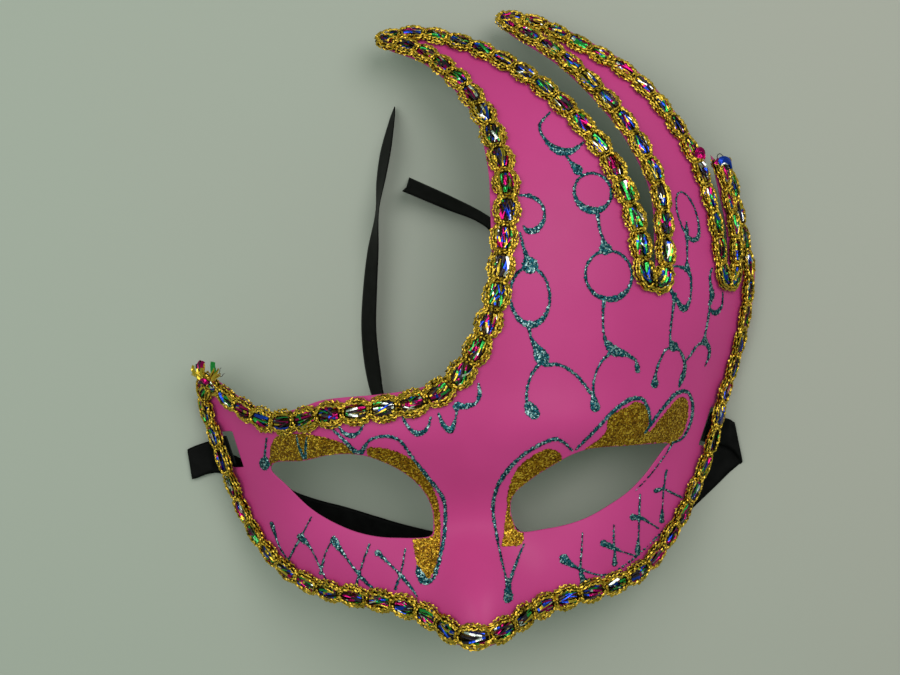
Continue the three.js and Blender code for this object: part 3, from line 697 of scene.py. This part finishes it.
GOLD_PATCHES = [
    [(-66.5, -43.8), (-64, -35), (-56.8, -33.6), (-48.7, -34.6), (-43.5, -36.2), (-38.4, -39.7), (-42, -42),
     (-49, -42), (-57.7, -44), (-63, -46)],
    [(-35.2, -38.6), (-29.2, -38.8), (-22.7, -42.1), (-17.8, -48.4), (-15, -56.8), (-14.9, -65), (-15.3, -70),
     (-17.5, -76.6), (-19.5, -79), (-21.8, -77.5), (-23, -72.6), (-23.3, -66), (-18.5, -65.2), (-19, -62),
     (-20.5, -54.5), (-25, -49.5), (-30, -45), (-34.6, -42.5)],
    [(2.6, -70.3), (3.4, -67.4), (4.8, -59.5), (5.8, -53), (9.2, -46.4), (14.3, -42.8), (18.5, -41.6),
     (22.4, -44.4), (19.5, -48.8), (12.3, -53.3), (8.4, -58), (7.6, -63.1), (10, -67.7),
     (8.6, -70.6), (4.6, -70.7)],
    [(27, -44.2), (35.3, -38), (36.4, -33.6), (41.9, -31.1), (45.9, -29.6), (49.4, -32.4), (49.6, -36.7),
     (49.2, -39.4), (54.1, -34.7), (60.7, -29.7), (63.2, -30.6), (63.5, -35.7), (61.1, -41.7), (56.8, -44.4),
     (44.6, -44.8), (37.2, -44.4), (30.1, -44.4)],
]


# Tones of the flakes, from the darkest to the few that catch the light; the last tone is a painted glint,
# which a few flakes get at random
TEAL_TONES_AND_GLINT = [
    (0.0, (0.001, 0.012, 0.02)), (0.3, (0.002, 0.048, 0.075)), (0.7, (0.007, 0.115, 0.145)),
    (0.96, (0.4, 0.6, 0.6)),
]
GOLD_TONES_AND_GLINT = [
    (0.0, (0.06, 0.02, 0.001)), (0.3, (0.18, 0.075, 0.001)), (0.7, (0.33, 0.155, 0.003)),
    (0.95, (0.72, 0.46, 0.04)),
]


class GlitterLayer:
    """A thin crust on the front face, made of the points of a fine grid that the glue covers."""

    left, right, low, high = -90.0, 90.0, -96.0, 94.0
    shift = 0.22  # how far a point may lie from its even place, as a share of the step
    patch_fill = 0.6
    holes = 0.12  # fill up to which a point may stay bare
    least_fill = 0.03  # fill that gives the crust its height at its very edge
    sunk = 0.06  # how far the crust reaches into the plastic

    def __init__(self, step):
        self.step, self.row_step = step, step * ROW_STEP
        xs, ys = even_grid(self.left, self.right, self.low, self.high, step)
        self.xs = xs + random.uniform(-self.shift, self.shift, xs.shape) * step
        self.ys = ys + random.uniform(-self.shift, self.shift, xs.shape) * step
        self.fill = np.zeros(xs.shape)

    def points(self):
        return np.stack([self.xs.ravel(), self.ys.ravel()], axis=1)

    def dab(self, x, y, radius, waver=0.15):
        """Covers the grid points around one place; fill is 1 in the middle of the dab and 0 at its edge."""
        radius *= random.uniform(1 - waver, 1 + waver)
        row, column = (y - self.low) / self.row_step, (x - self.left) / self.step
        reach = radius * 1.5 / self.row_step + 2  # rows and columns that the dab may touch
        rows = slice(max(int(row - reach), 0), int(row + reach) + 1)
        columns = slice(max(int(column - reach), 0), int(column + reach) + 1)
        away = np.hypot(self.xs[rows, columns] - x, self.ys[rows, columns] - y) / radius
        self.fill[rows, columns] = np.maximum(self.fill[rows, columns], 1.0 - away)

    def line(self, points):
        for x, y, half in evenly(dense(points), 0.2):
            self.dab(x, y, half)

    def ring(self, x, y, across, up, turn, thin, thick, at):
        angles = np.radians(np.arange(0.0, 360.0, 1.5))
        u, v = across * np.cos(angles), up * np.sin(angles)
        turn = math.radians(turn)
        swollen = np.clip(np.cos(angles - math.radians(at)), 0.0, 1.0) ** 3
        xs = x + (u * math.cos(turn) - v * math.sin(turn))
        ys = y + (u * math.sin(turn) + v * math.cos(turn))
        for place in zip(xs, ys, thin + (thick - thin) * swollen):
            self.dab(*place)

    def patch(self, outline):
        points = self.points()
        ring = closed_ring(outline, 0.8)
        low, high = ring.min(axis=0), ring.max(axis=0)
        near = np.flatnonzero(np.all((points > low) & (points < high), axis=1))
        covered = near[inside(points[near], ring)]
        self.fill.ravel()[covered] = self.patch_fill

    def piece(self, name, material, rise, grain, openings, margin):
        """Turns the covered points into a closed crust that keeps a margin from the openings."""
        points = self.points()
        covered = self.fill.ravel() > random.uniform(0.0, self.holes, self.fill.size)
        chosen = np.flatnonzero(covered)
        for ring in openings:
            widened = ring + inward(ring) * margin
            covered[chosen[inside(points[chosen], widened)]] = False
        rows, columns = self.fill.shape
        index = np.arange(rows * columns).reshape(rows, columns)
        a, b, c, d = index[:-1, :-1], index[:-1, 1:], index[1:, :-1], index[1:, 1:]
        odd = (np.arange(rows - 1) % 2 == 1)[:, None]
        one = np.where(odd[..., None], np.stack([a, b, d], axis=-1), np.stack([a, b, c], axis=-1))
        two = np.where(odd[..., None], np.stack([a, d, c], axis=-1), np.stack([b, d, c], axis=-1))
        faces = np.concatenate([one.reshape(-1, 3), two.reshape(-1, 3)])
        faces = faces[covered[faces].all(axis=1)]
        used, faces = np.unique(faces, return_inverse=True)
        faces = faces.reshape(-1, 3)
        ground, normal = on_face(points[used])
        fill = self.fill.ravel()[used]
        height = rise * np.sqrt(np.clip(fill, self.least_fill, 1.0)) + random.uniform(0.0, grain, len(used))
        top, bottom = ground + normal * height[:, None], ground - normal * self.sunk
        directed = np.concatenate([faces[:, [0, 1]], faces[:, [1, 2]], faces[:, [2, 0]]])
        key = directed[:, 0] * len(used) + directed[:, 1]
        back = directed[:, 1] * len(used) + directed[:, 0]
        rim = directed[~np.isin(key, back)]
        count = len(used)
        walls = np.stack([rim[:, 1], rim[:, 0], rim[:, 0] + count, rim[:, 1] + count], axis=1)
        all_faces = faces.tolist() + (faces[:, ::-1] + count).tolist() + walls.tolist()
        make_piece(name, np.vstack([top, bottom]), all_faces, [material], smooth=False)


def make_glitter():
    teal = glitter_material("teal_glitter", TEAL_TONES_AND_GLINT, 0.42, 0.5)
    gold = glitter_material("gold_glitter", GOLD_TONES_AND_GLINT, 0.38, 0.4)
    openings = shell_rings()[1:]
    lines = GlitterLayer(0.34)
    for points in TEAL_LINES:
        lines.line(points)
    for ring in TEAL_RINGS:
        lines.ring(*ring)
    row = dense(DOTTED_ROW)
    for x, y in evenly(row, arc_lengths(row)[-1] / DOTS):
        lines.dab(x, y, DOT_RADIUS, waver=0.3)
    lines.piece("glitter_teal", teal, 0.34, 0.14, openings, 0.3)
    patches = GlitterLayer(0.42)
    for outline in GOLD_PATCHES:
        patches.patch(outline)
    patches.piece("glitter_gold", gold, 0.14, 0.16, openings, 0.03)


make_glitter()


# Braid

STEP = 0.5  # between the places at which a run is measured
PASS_LIFT, PASS_REACH = 1.1, 11.0  # the braid rides up where a ribbon lies under it
CLEARANCE = 0.12  # between the plastic and the underside of the braid

# Width of the braid and length of its beads, at even distances along each run
BRAID_WIDTHS = {
    "crescent": (7.2, 7.8, 8.0, 8.2, 8.4, 8.4, 8.4, 8.4, 8.2, 7.8, 7.3, 6.6),
    "long_horn": (6.4, 6.6, 7.0, 7.4, 7.9, 8.0, 7.6, 7.3, 7.1, 6.8, 6.4),
    "middle_horn": (6.4, 6.2, 6.2, 6.2, 6.4, 6.6, 6.6, 6.4, 6.2),
    "long_side": (
        9.4, 6.4, 6.5, 6.8, 6.8, 6.8, 7.2, 7.4, 7.4, 7.8, 7.9, 7.6, 7.8, 7.6, 7.2, 7.2, 7.4, 7.8, 8.0, 8.0,
    ),
}
BEAD_LENGTHS = {
    "crescent": (8.0, 8.4, 8.4, 8.4, 8.4, 7.6, 6.6),
    "long_horn": (7.6, 8.4, 8.4),
    "middle_horn": (8.0, 8.4),
    "long_side": (8.2, 8.4),
}

# How much shorter than its edge a run of braid is, at its start and at its end
BRAID_CUTS = {"long_side": (3.4, 0.0), "middle_horn": (0.0, 2.0)}
# Runs that start part of the way through a bead, which makes their end broad
FIRST_PHASES = {"long_side": 0.32}

# Rows of gold stitches on each side: share of the half width at a neck and at a bead's middle, height at a
# neck and at a bead's middle, how bluntly the row swells
GOLD_ROWS = {
    "outer": (0.52, 0.96, 0.75, 0.85, 0.65),
    "middle": (0.36, 0.79, 1.30, 1.45, 0.55),
    "inner": (0.10, 0.60, 1.70, 1.95, 0.36),
}

CORE_HALF_HEIGHT = 0.7
CORE_WIDTH, CORE_SWELL = 0.52, 0.24  # shares of the half width of the braid

# Foils in the windows: colour, roughness, how metallic they are and how often they come up
FOILS = {
    "blue": ((0.02, 0.07, 0.60), 0.2, 1.0, 0.08),
    "green": ((0.04, 0.45, 0.09), 0.2, 1.0, 0.08),
    "magenta": ((0.50, 0.008, 0.14), 0.2, 1.0, 0.10),
    "silver": ((0.80, 0.82, 0.78), 0.2, 1.0, 0.11),
    "dark": ((0.02, 0.012, 0.02), 0.35, 0.4, 0.34),
    "gold": ((0.75, 0.50, 0.05), 0.2, 1.0, 0.20),
}
LEADS = 3  # the first foils in the list; two of them lead in each bead
LEAD_SHARE = 0.17
FOILS_PER_BEAD, FOIL_RINGS = 9, 9
WINDOW = (0.15, 0.85)  # the part of a bead that its foils fill
SAME_FOIL = 0.66  # chance that a foil keeps its colour from one ring to the next


def even_list(values, count):
    """A short list of values, eased over a number of even steps."""
    t = np.linspace(0.0, len(values) - 1, count)
    return spline(np.array(values)[:, None], t, centripetal=False)[:, 0]


def jitter(spread, size=None):
    return random.normal(0.0, spread, size)


def swell(phase, bluntness=0.5):
    """0 at a neck, 1 at the middle of a bead."""
    return np.abs(np.sin(math.pi * phase)) ** bluntness


class BraidRun:
    """One run of the braid; a place on it is a distance along, a distance sideways and a height."""

    def __init__(self, name):
        run = np.asarray(RUNS[name], float)
        edge = dense(run)
        along = unit(np.gradient(edge[:, :2], axis=0))
        path = edge[:, :2] + np.stack([along[:, 1], -along[:, 0]], axis=1) * edge[:, 2:]
        travelled = arc_lengths(path)
        start, end = BRAID_CUTS.get(name, (0.0, 0.0))
        path = path[(travelled >= start) & (travelled <= travelled[-1] - end)]
        surface = evenly(on_face(path)[0], STEP)
        self.normal = on_face(surface)[1]
        lift = np.full(len(surface), CLEARANCE)
        for row in (LEFT_RIBBON[BRAID_ROW], RIGHT_RIBBON[BRAID_ROW]):
            away = (surface[:, :2] - row[:2]) / PASS_REACH
            lift += PASS_LIFT * bump(away[:, 0], away[:, 1])
        self.middle = surface + self.normal * lift[:, None]
        self.sideways = unit(np.cross(self.normal, unit(np.gradient(self.middle, axis=0))))
        count = len(surface)
        self.along = np.arange(count) * STEP
        self.half = even_list(BRAID_WIDTHS[name], count) / 2
        phase = np.cumsum(STEP / even_list(BEAD_LENGTHS[name], count))
        phase -= phase[0]
        self.beads = round(phase[-1])
        self.first = FIRST_PHASES.get(name, 0.0)
        self.phase = self.first + phase * (self.beads - self.first) / phase[-1]

    def at(self, along, values):
        return np.interp(along, self.along, values)

    def place(self, along, side, up):
        k = np.clip(along / STEP, 0.0, len(self.middle) - 1.001)
        first = k.astype(int)
        w = (k - first)[..., None]
        guides = (self.middle, self.sideways, self.normal)
        middle, sideways, normal = (guide[first] * (1 - w) + guide[first + 1] * w for guide in guides)
        return middle + sideways * side[..., None] + normal * up[..., None]


class Strands:
    """Collects four-sided strands, many at once, and turns them into one piece."""

    def __init__(self):
        self.vertices, self.faces, self.kinds, self.count = [], [], [], 0

    def add(self, centre, hint, wide, thin, roll, kinds=0):
        """centre holds one place for each strand and ring; hint is the direction that a flat strand faces."""
        strands, rings = centre.shape[:2]
        along = unit(np.gradient(centre, axis=1))
        across = unit(np.cross(hint, along))
        facing = np.cross(along, across)
        measures = (roll, wide, thin)
        roll, wide, thin = (np.broadcast_to(value, (strands, rings))[..., None] for value in measures)
        cos, sin = np.cos(roll), np.sin(roll)
        across, facing = (across * cos + facing * sin) * wide, (facing * cos - across * sin) * thin
        ring = np.stack([across, facing, -across, -facing], axis=2) + centre[:, :, None]
        faces = np.array(tube_faces(rings, 4))
        first = self.count + np.arange(strands)[:, None, None] * rings * 4
        self.vertices.append(ring.reshape(-1, 3))
        self.faces.append((faces[None] + first).reshape(-1, 4))
        kinds = np.broadcast_to(kinds, (strands, rings - 1))
        sides_and_ends = [np.repeat(kinds, 4, axis=1), kinds[:, :1], kinds[:, -1:]]
        self.kinds.append(np.concatenate(sides_and_ends, axis=1).ravel())
        self.count += strands * rings * 4

    def piece(self, name, materials, replaces=()):
        make_piece(
            name, np.vstack(self.vertices), np.vstack(self.faces), materials, replaces, smooth=False,
            face_material=np.concatenate(self.kinds),
        )


def stitches(strands, run, row, side, spacing=0.8, slant=0.42):
    """A chain of short stitches along one side of the braid, as a knitted edge shows them."""
    neck, wide, neck_up, up, bluntness = GOLD_ROWS[row]
    count = round(run.along[-1] / spacing)
    along = (np.arange(count) + random.uniform(-0.18, 0.18, count)) * spacing
    full = swell(run.at(along, run.phase), bluntness)
    half = run.at(along, run.half)
    reach = side * half * (neck + (wide - neck) * full) + jitter(0.09, count)
    raised = neck_up + (up - neck_up) * full + jitter(0.09, count)
    lean = slant * (-1.0) ** np.arange(count) + jitter(0.22, count)
    lean += np.arctan(np.gradient(reach, along)) * 0.9
    length = random.uniform(0.62, 0.9, count)
    roll = side * (0.5 if row == "outer" else 0.1)
    stitch(strands, run, along, reach, raised, lean, length, roll)


def stitch(strands, run, along, side, up, lean, length, roll, arch=0.18, flatness=0.7):
    """Short fat strands; lean is their turn away from the run of the braid."""
    t = np.array([-1.0, -0.4, 0.4, 1.0])
    taper = np.array([0.4, 1.0, 1.0, 0.4])
    centre = run.place(
        along[:, None] + np.cos(lean)[:, None] * length[:, None] * t,
        side[:, None] + np.sin(lean)[:, None] * length[:, None] * t,
        up[:, None] + arch * (1 - t ** 2),
    )
    hint = np.stack([run.at(along, run.normal[:, i]) for i in range(3)], axis=1)[:, None]
    thick = random.uniform(0.27, 0.38, len(along))[:, None] * taper
    strands.add(centre, hint, thick, thick * flatness, (jitter(0.45, len(along)) + roll)[:, None])


def crossings(strands, run, apart=0.45, bend=1.5, height=2.0, length=0.55):
    """Gold stitches that close the braid over each neck, in two rows that bend round the beads."""
    places = np.array([-0.42, -0.14, 0.14, 0.42])  # across the neck, in half widths
    for neck in range(run.beads + 1):
        middle = np.interp(neck, run.phase, run.along)
        half = run.at(middle, run.half)
        for ahead in (-1.0, 1.0):
            u = places + jitter(0.03, 4)
            along = np.clip(middle + ahead * (apart + bend * u ** 2) + jitter(0.08, 4), 0.0, run.along[-1])
            lean = math.pi / 2 - ahead * 2 * bend * u + jitter(0.25, 4)
            up = height - 0.9 * u ** 2 + jitter(0.06, 4)
            stitch(strands, run, along, u * half, up, lean, np.full(4, length), 0.0)


def foils(strands, run):
    """Thin strips of coloured foil side by side in each window, with dark gaps and changes of colour."""
    count, rings = FOILS_PER_BEAD, FOIL_RINGS
    for bead in range(run.beads):
        f = np.linspace(WINDOW[0] + (run.first if bead == 0 else 0.0), WINDOW[1], rings)
        along = np.interp(bead + f, run.phase, run.along)
        half = run.at(along, run.half)
        bulge = swell(f, 0.34)
        # places across the window are shares of the half width
        lanes = np.linspace(-0.5, 0.5, count) + jitter(0.07, count)
        slant = jitter(0.22, count)
        lane = lanes[:, None] + slant[:, None] * np.linspace(-1.0, 1.0, rings)
        side = np.clip(lane, -0.55, 0.55) * half * bulge
        up = 1.35 + 0.55 * bulge * (1 - (lane / 0.8) ** 2) + jitter(0.14, count)[:, None]
        up += 0.1 * np.sin(random.uniform(0.0, 6.3, (count, 1)) + 9.0 * f)
        centre = run.place(np.broadcast_to(along, side.shape), side, up)
        hint = run.normal[np.round(along / STEP).astype(int).clip(0, len(run.normal) - 1)][None]
        wide = random.uniform(0.2, 0.42, count)[:, None] * (0.6 + 0.4 * bulge)
        roll = random.uniform(-0.8, 0.8, count)[:, None] + jitter(1.4, count)[:, None] * (f - 0.5)
        share = np.array([foil[-1] for foil in FOILS.values()])
        share[random.choice(LEADS, 2, replace=False)] += LEAD_SHARE
        kinds = random.choice(len(FOILS), (count, rings - 1), p=share / share.sum())
        for ring in range(1, rings - 1):
            same = random.random(count) < SAME_FOIL
            kinds[same, ring] = kinds[same, ring - 1]
        strands.add(centre, hint, wide, 0.05, roll, kinds)


# Loose ends of the braid: colour, half width, share of it at the tip, places as x, y and height over the face
LOOSE_ENDS = [
    ("magenta", 0.65, 0.9, [(-86.2, -12.3, 2.6), (-86.6, -10.9, 2.4), (-86, -10.1, 2)]),
    ("magenta", 0.6, 0.9, [(-85.1, -12.1, 3), (-85.1, -10.9, 2.8), (-84.7, -10.3, 2.4)]),
    ("dark", 0.55, 0.8, [(-85.8, -13.7, 2.6), (-87.2, -12.1, 2.8), (-87.5, -10.9, 2.4)]),
    ("dark", 0.45, 0.8, [(-85.4, -13.1, 2.8), (-86, -11.5, 3), (-85.8, -10.3, 2.6)]),
    ("gold", 0.5, 0.7, [(-86.6, -15.6, 2), (-88.4, -14.6, 2.4), (-90, -14.2, 2), (-91, -14.4, 1.6)]),
    ("gold", 0.55, 0.8, [(-86.6, -15, 2.2), (-88.6, -13.8, 2.6), (-89.6, -12.4, 2.2), (-89.3, -11.4, 2)]),
    ("gold", 0.5, 0.8, [(-86.2, -14.8, 2.4), (-87.8, -13.4, 3), (-88.8, -12, 2.6)]),
    ("gold", 0.5, 0.8, [(-85.8, -14.2, 2.2), (-84.9, -12.6, 2.6), (-84.8, -11.2, 2.4), (-85.6, -10.4, 2)]),
    ("gold", 0.45, 0.8, [(-86, -15.2, 2.6), (-85.6, -13.8, 3.2), (-84.6, -12.8, 2.8)]),
    ("gold", 0.45, 0.8, [(-86.4, -15.4, 2.8), (-87.4, -14.4, 3.2), (-88.4, -14.4, 2.8)]),
    ("gold", 0.5, 0.8, [(-85.4, -15.2, 3.2), (-86, -13.6, 3.6), (-86.5, -12.2, 3.2)]),
    ("gold", 0.45, 0.8, [(-85, -14.6, 3.2), (-85.1, -13.2, 3.6), (-84.7, -12, 3.4)]),
    ("green", 0.48, 1, [(-82.4, -15, 2), (-81.7, -13.4, 2.8), (-81.4, -11.8, 3), (-81.1, -10.4, 3)]),
    ("green", 0.4, 1, [(-81.8, -15, 1.8), (-81, -13.2, 2.4), (-80.7, -11.6, 2.8), (-80.5, -10.6, 2.8)]),
    ("gold", 0.6, 0.7, [(-82.9, -16, 2), (-81.5, -14.8, 2.4), (-80.5, -13.8, 2.2), (-79.9, -12.8, 2)]),
    ("gold", 0.5, 0.7, [(-83.1, -15.6, 2.2), (-81.9, -14.2, 2.8), (-81.1, -13, 2.6), (-80.7, -12.4, 2.4)]),
    ("gold", 0.5, 0.7, [(-82.7, -16.6, 2), (-80.9, -15.6, 2.4), (-79.5, -14.8, 2)]),
    ("gold", 0.45, 0.7, [(-82.5, -16.2, 2.4), (-81.1, -15, 2.6), (-79.3, -14.2, 2.2)]),
    ("magenta", 0.7, 0.9, [(-86.2, -16.4, 3), (-85.2, -15.8, 3.4), (-84.4, -16.2, 3.2), (-84, -17.2, 2.6)]),
    ("dark", 0.6, 0.9, [(-86.6, -17, 3), (-85.8, -16.4, 3.4), (-85, -17, 3)]),
    ("dark", 0.11, 0.8, [(-79.7, -14.4, 2.2), (-78.9, -13.4, 2.8), (-78.3, -12.6, 3.2), (-77.8, -12.3, 3.2)]),
    ("dark", 0.11, 0.8, [(-79.5, -15.2, 2.2), (-78.4, -15, 2.6), (-77.5, -14.3, 3), (-76.9, -14.2, 3)]),
    ("dark", 0.07, 0.8, [(-80.7, -13.4, 2.2), (-80.5, -12.4, 2.6), (-80.2, -11.6, 3)]),
    ("blue", 0.85, 0.8, [(76.3, 42.5, 2.6), (77.9, 43.5, 3.2), (79.7, 43.1, 3.4), (81.1, 41.1, 2.8)]),
    ("blue", 0.6, 0.8, [(76.7, 41.7, 2.8), (78.3, 42.3, 3.4), (79.7, 41.9, 3.4), (80.7, 40.5, 2.8)]),
    ("silver", 0.25, 0.8, [(77.1, 41.5, 3), (78.1, 41.8, 3.6), (78.9, 41.4, 3.4)]),
    ("magenta", 0.6, 0.8, [(75.3, 41.7, 2.6), (75.7, 42.7, 3), (76.5, 43.2, 2.8)]),
    ("dark", 0.14, 1,
     [(76.3, 42.9, 2.6), (75.9, 44.3, 3), (76.7, 44.9, 3.2), (77.7, 44.5, 3), (78.5, 43.5, 2.8)]),
    ("magenta", 0.75, 1,
     [(69.2, 43.8, 2.6), (68.8, 45, 3.4), (69.6, 45.8, 3.6), (70.6, 45.2, 3.4), (71, 44, 2.8)]),
    ("magenta", 0.7, 1, [(69.4, 43.2, 3), (69.6, 44.4, 3.6), (70.4, 44.2, 3.6), (70.9, 43, 3)]),
    ("dark", 0.4, 1, [(69.2, 44.4, 3.4), (69.8, 44.9, 3.9), (70.4, 44.4, 3.7)]),
    ("magenta", 0.4, 0.9, [(70.4, 44, 3.2), (71.2, 42.8, 3.2), (71.6, 41.6, 2.8)]),
    ("silver", 0.4, 0.9, [(70.8, 42.2, 2.8), (71.4, 41, 3.2), (71.8, 39.8, 2.8)]),
    ("blue", 0.45, 0.9, [(71.4, 40.4, 2.8), (71.9, 39.4, 3), (72.2, 38.6, 2.6)]),
]


def loose_ends(strands):
    """Short ends of foil and yarn that stick out of the braid, thinner towards their tips."""
    names, up = list(FOILS), np.array([0.0, 0.0, 1.0])
    for color, half, tip, places in LOOSE_ENDS:
        line = evenly(dense(places), 0.35)
        ground, normal = on_face(line)
        centre = ground + normal * line[:, 2:]
        t = np.linspace(0.0, 1.0, len(line))
        wide = half * (1.0 - (1.0 - tip) * t)
        roll = jitter(0.3) + jitter(0.6) * t
        strands.add(centre[None], up, wide[None], 0.06, roll[None], names.index(color))


def make_braid():
    # the gold's dark tone is painted shade, spread at random over the yarn
    gold = yarn_material("gold_yarn", (0.07, 0.04, 0.003), (0.67, 0.44, 0.05))
    core = yarn_material("braid_core", (0.006, 0.004, 0.004), (0.05, 0.03, 0.008))
    foil = [foil_material(name + "_foil", *look) for name, (*look, _) in FOILS.items()]
    runs = [BraidRun(name) for name in RUNS]
    for row in GOLD_ROWS:
        strands = Strands()
        for run in runs:
            for side in (-1, 1):
                stitches(strands, run, row, side)
            if row == "inner":
                crossings(strands, run)
        strands.piece("braid_gold_" + row, [gold], ["edge_braid"] if row == "inner" else [])
    tinsel, base = Strands(), Strands()
    for run in runs:
        foils(tinsel, run)
        half = run.half * (CORE_WIDTH + CORE_SWELL * swell(run.phase))
        middle = run.middle + run.normal * CORE_HALF_HEIGHT
        base.add(middle[None, ::2], run.normal[None, ::2], half[None, ::2], CORE_HALF_HEIGHT, 0.0)
    loose_ends(tinsel)
    tinsel.piece("braid_tinsel", foil)
    base.piece("braid_core", [core])


make_braid()


# Table and light

def make_stage():
    n = Nodes("table", (0.40, 0.44, 0.38), 0.55)
    n.set({"Specular IOR Level": 0.25})
    # the table is greener on the left and warmer on the right, unevenly
    uneven = n.band(n.noise(9.0, 4.0), 0.3, 0.7, -0.05, 0.05)
    across = n.add("SeparateXYZ", {"Vector": n.place}).outputs["X"]
    place = n.add("Math", {0: across, 1: uneven}, operation="ADD").outputs[0]
    share = n.band(place, -0.12, 0.14, 0.0, 1.0)
    n.link(n.ramp(share, [(0.0, (0.405, 0.440, 0.385)), (1.0, (0.415, 0.415, 0.372))]), "Base Color")
    mesh = bpy.data.meshes.new("table")
    half, z = 1.5, -0.00005  # metres
    corners = [(-half, -half, z), (half, -half, z), (half, half, z), (-half, half, z)]
    mesh.from_pydata(corners, [], [(0, 1, 2, 3)])
    mesh.materials.append(n.material)
    table = add_object("table", mesh)


def area_light(name, at, size, energy, color):
    data = bpy.data.lights.new(name, "AREA")
    data.shape = "DISK"
    data.size = size * MM
    data.energy = energy
    data.color = color
    light = add_object(name, data)
    light.location = Vector(at) * MM
    light.rotation_euler = (-light.location).to_track_quat("-Z", "Y").to_euler()


def make_world():
    world = bpy.data.worlds.new("room")
    world.use_nodes = True
    background = world.node_tree.nodes["Background"]
    background.inputs["Color"].default_value = (0.70, 0.93, 0.75, 1.0)
    background.inputs["Strength"].default_value = 0.38
    scene.world = world


make_stage()
make_world()
area_light("key", (380, 330, 860), 750, 4.3, (1.0, 0.955, 0.95))
area_light("fill", (-470, 140, 850), 750, 3.0, (1.0, 0.98, 0.97))
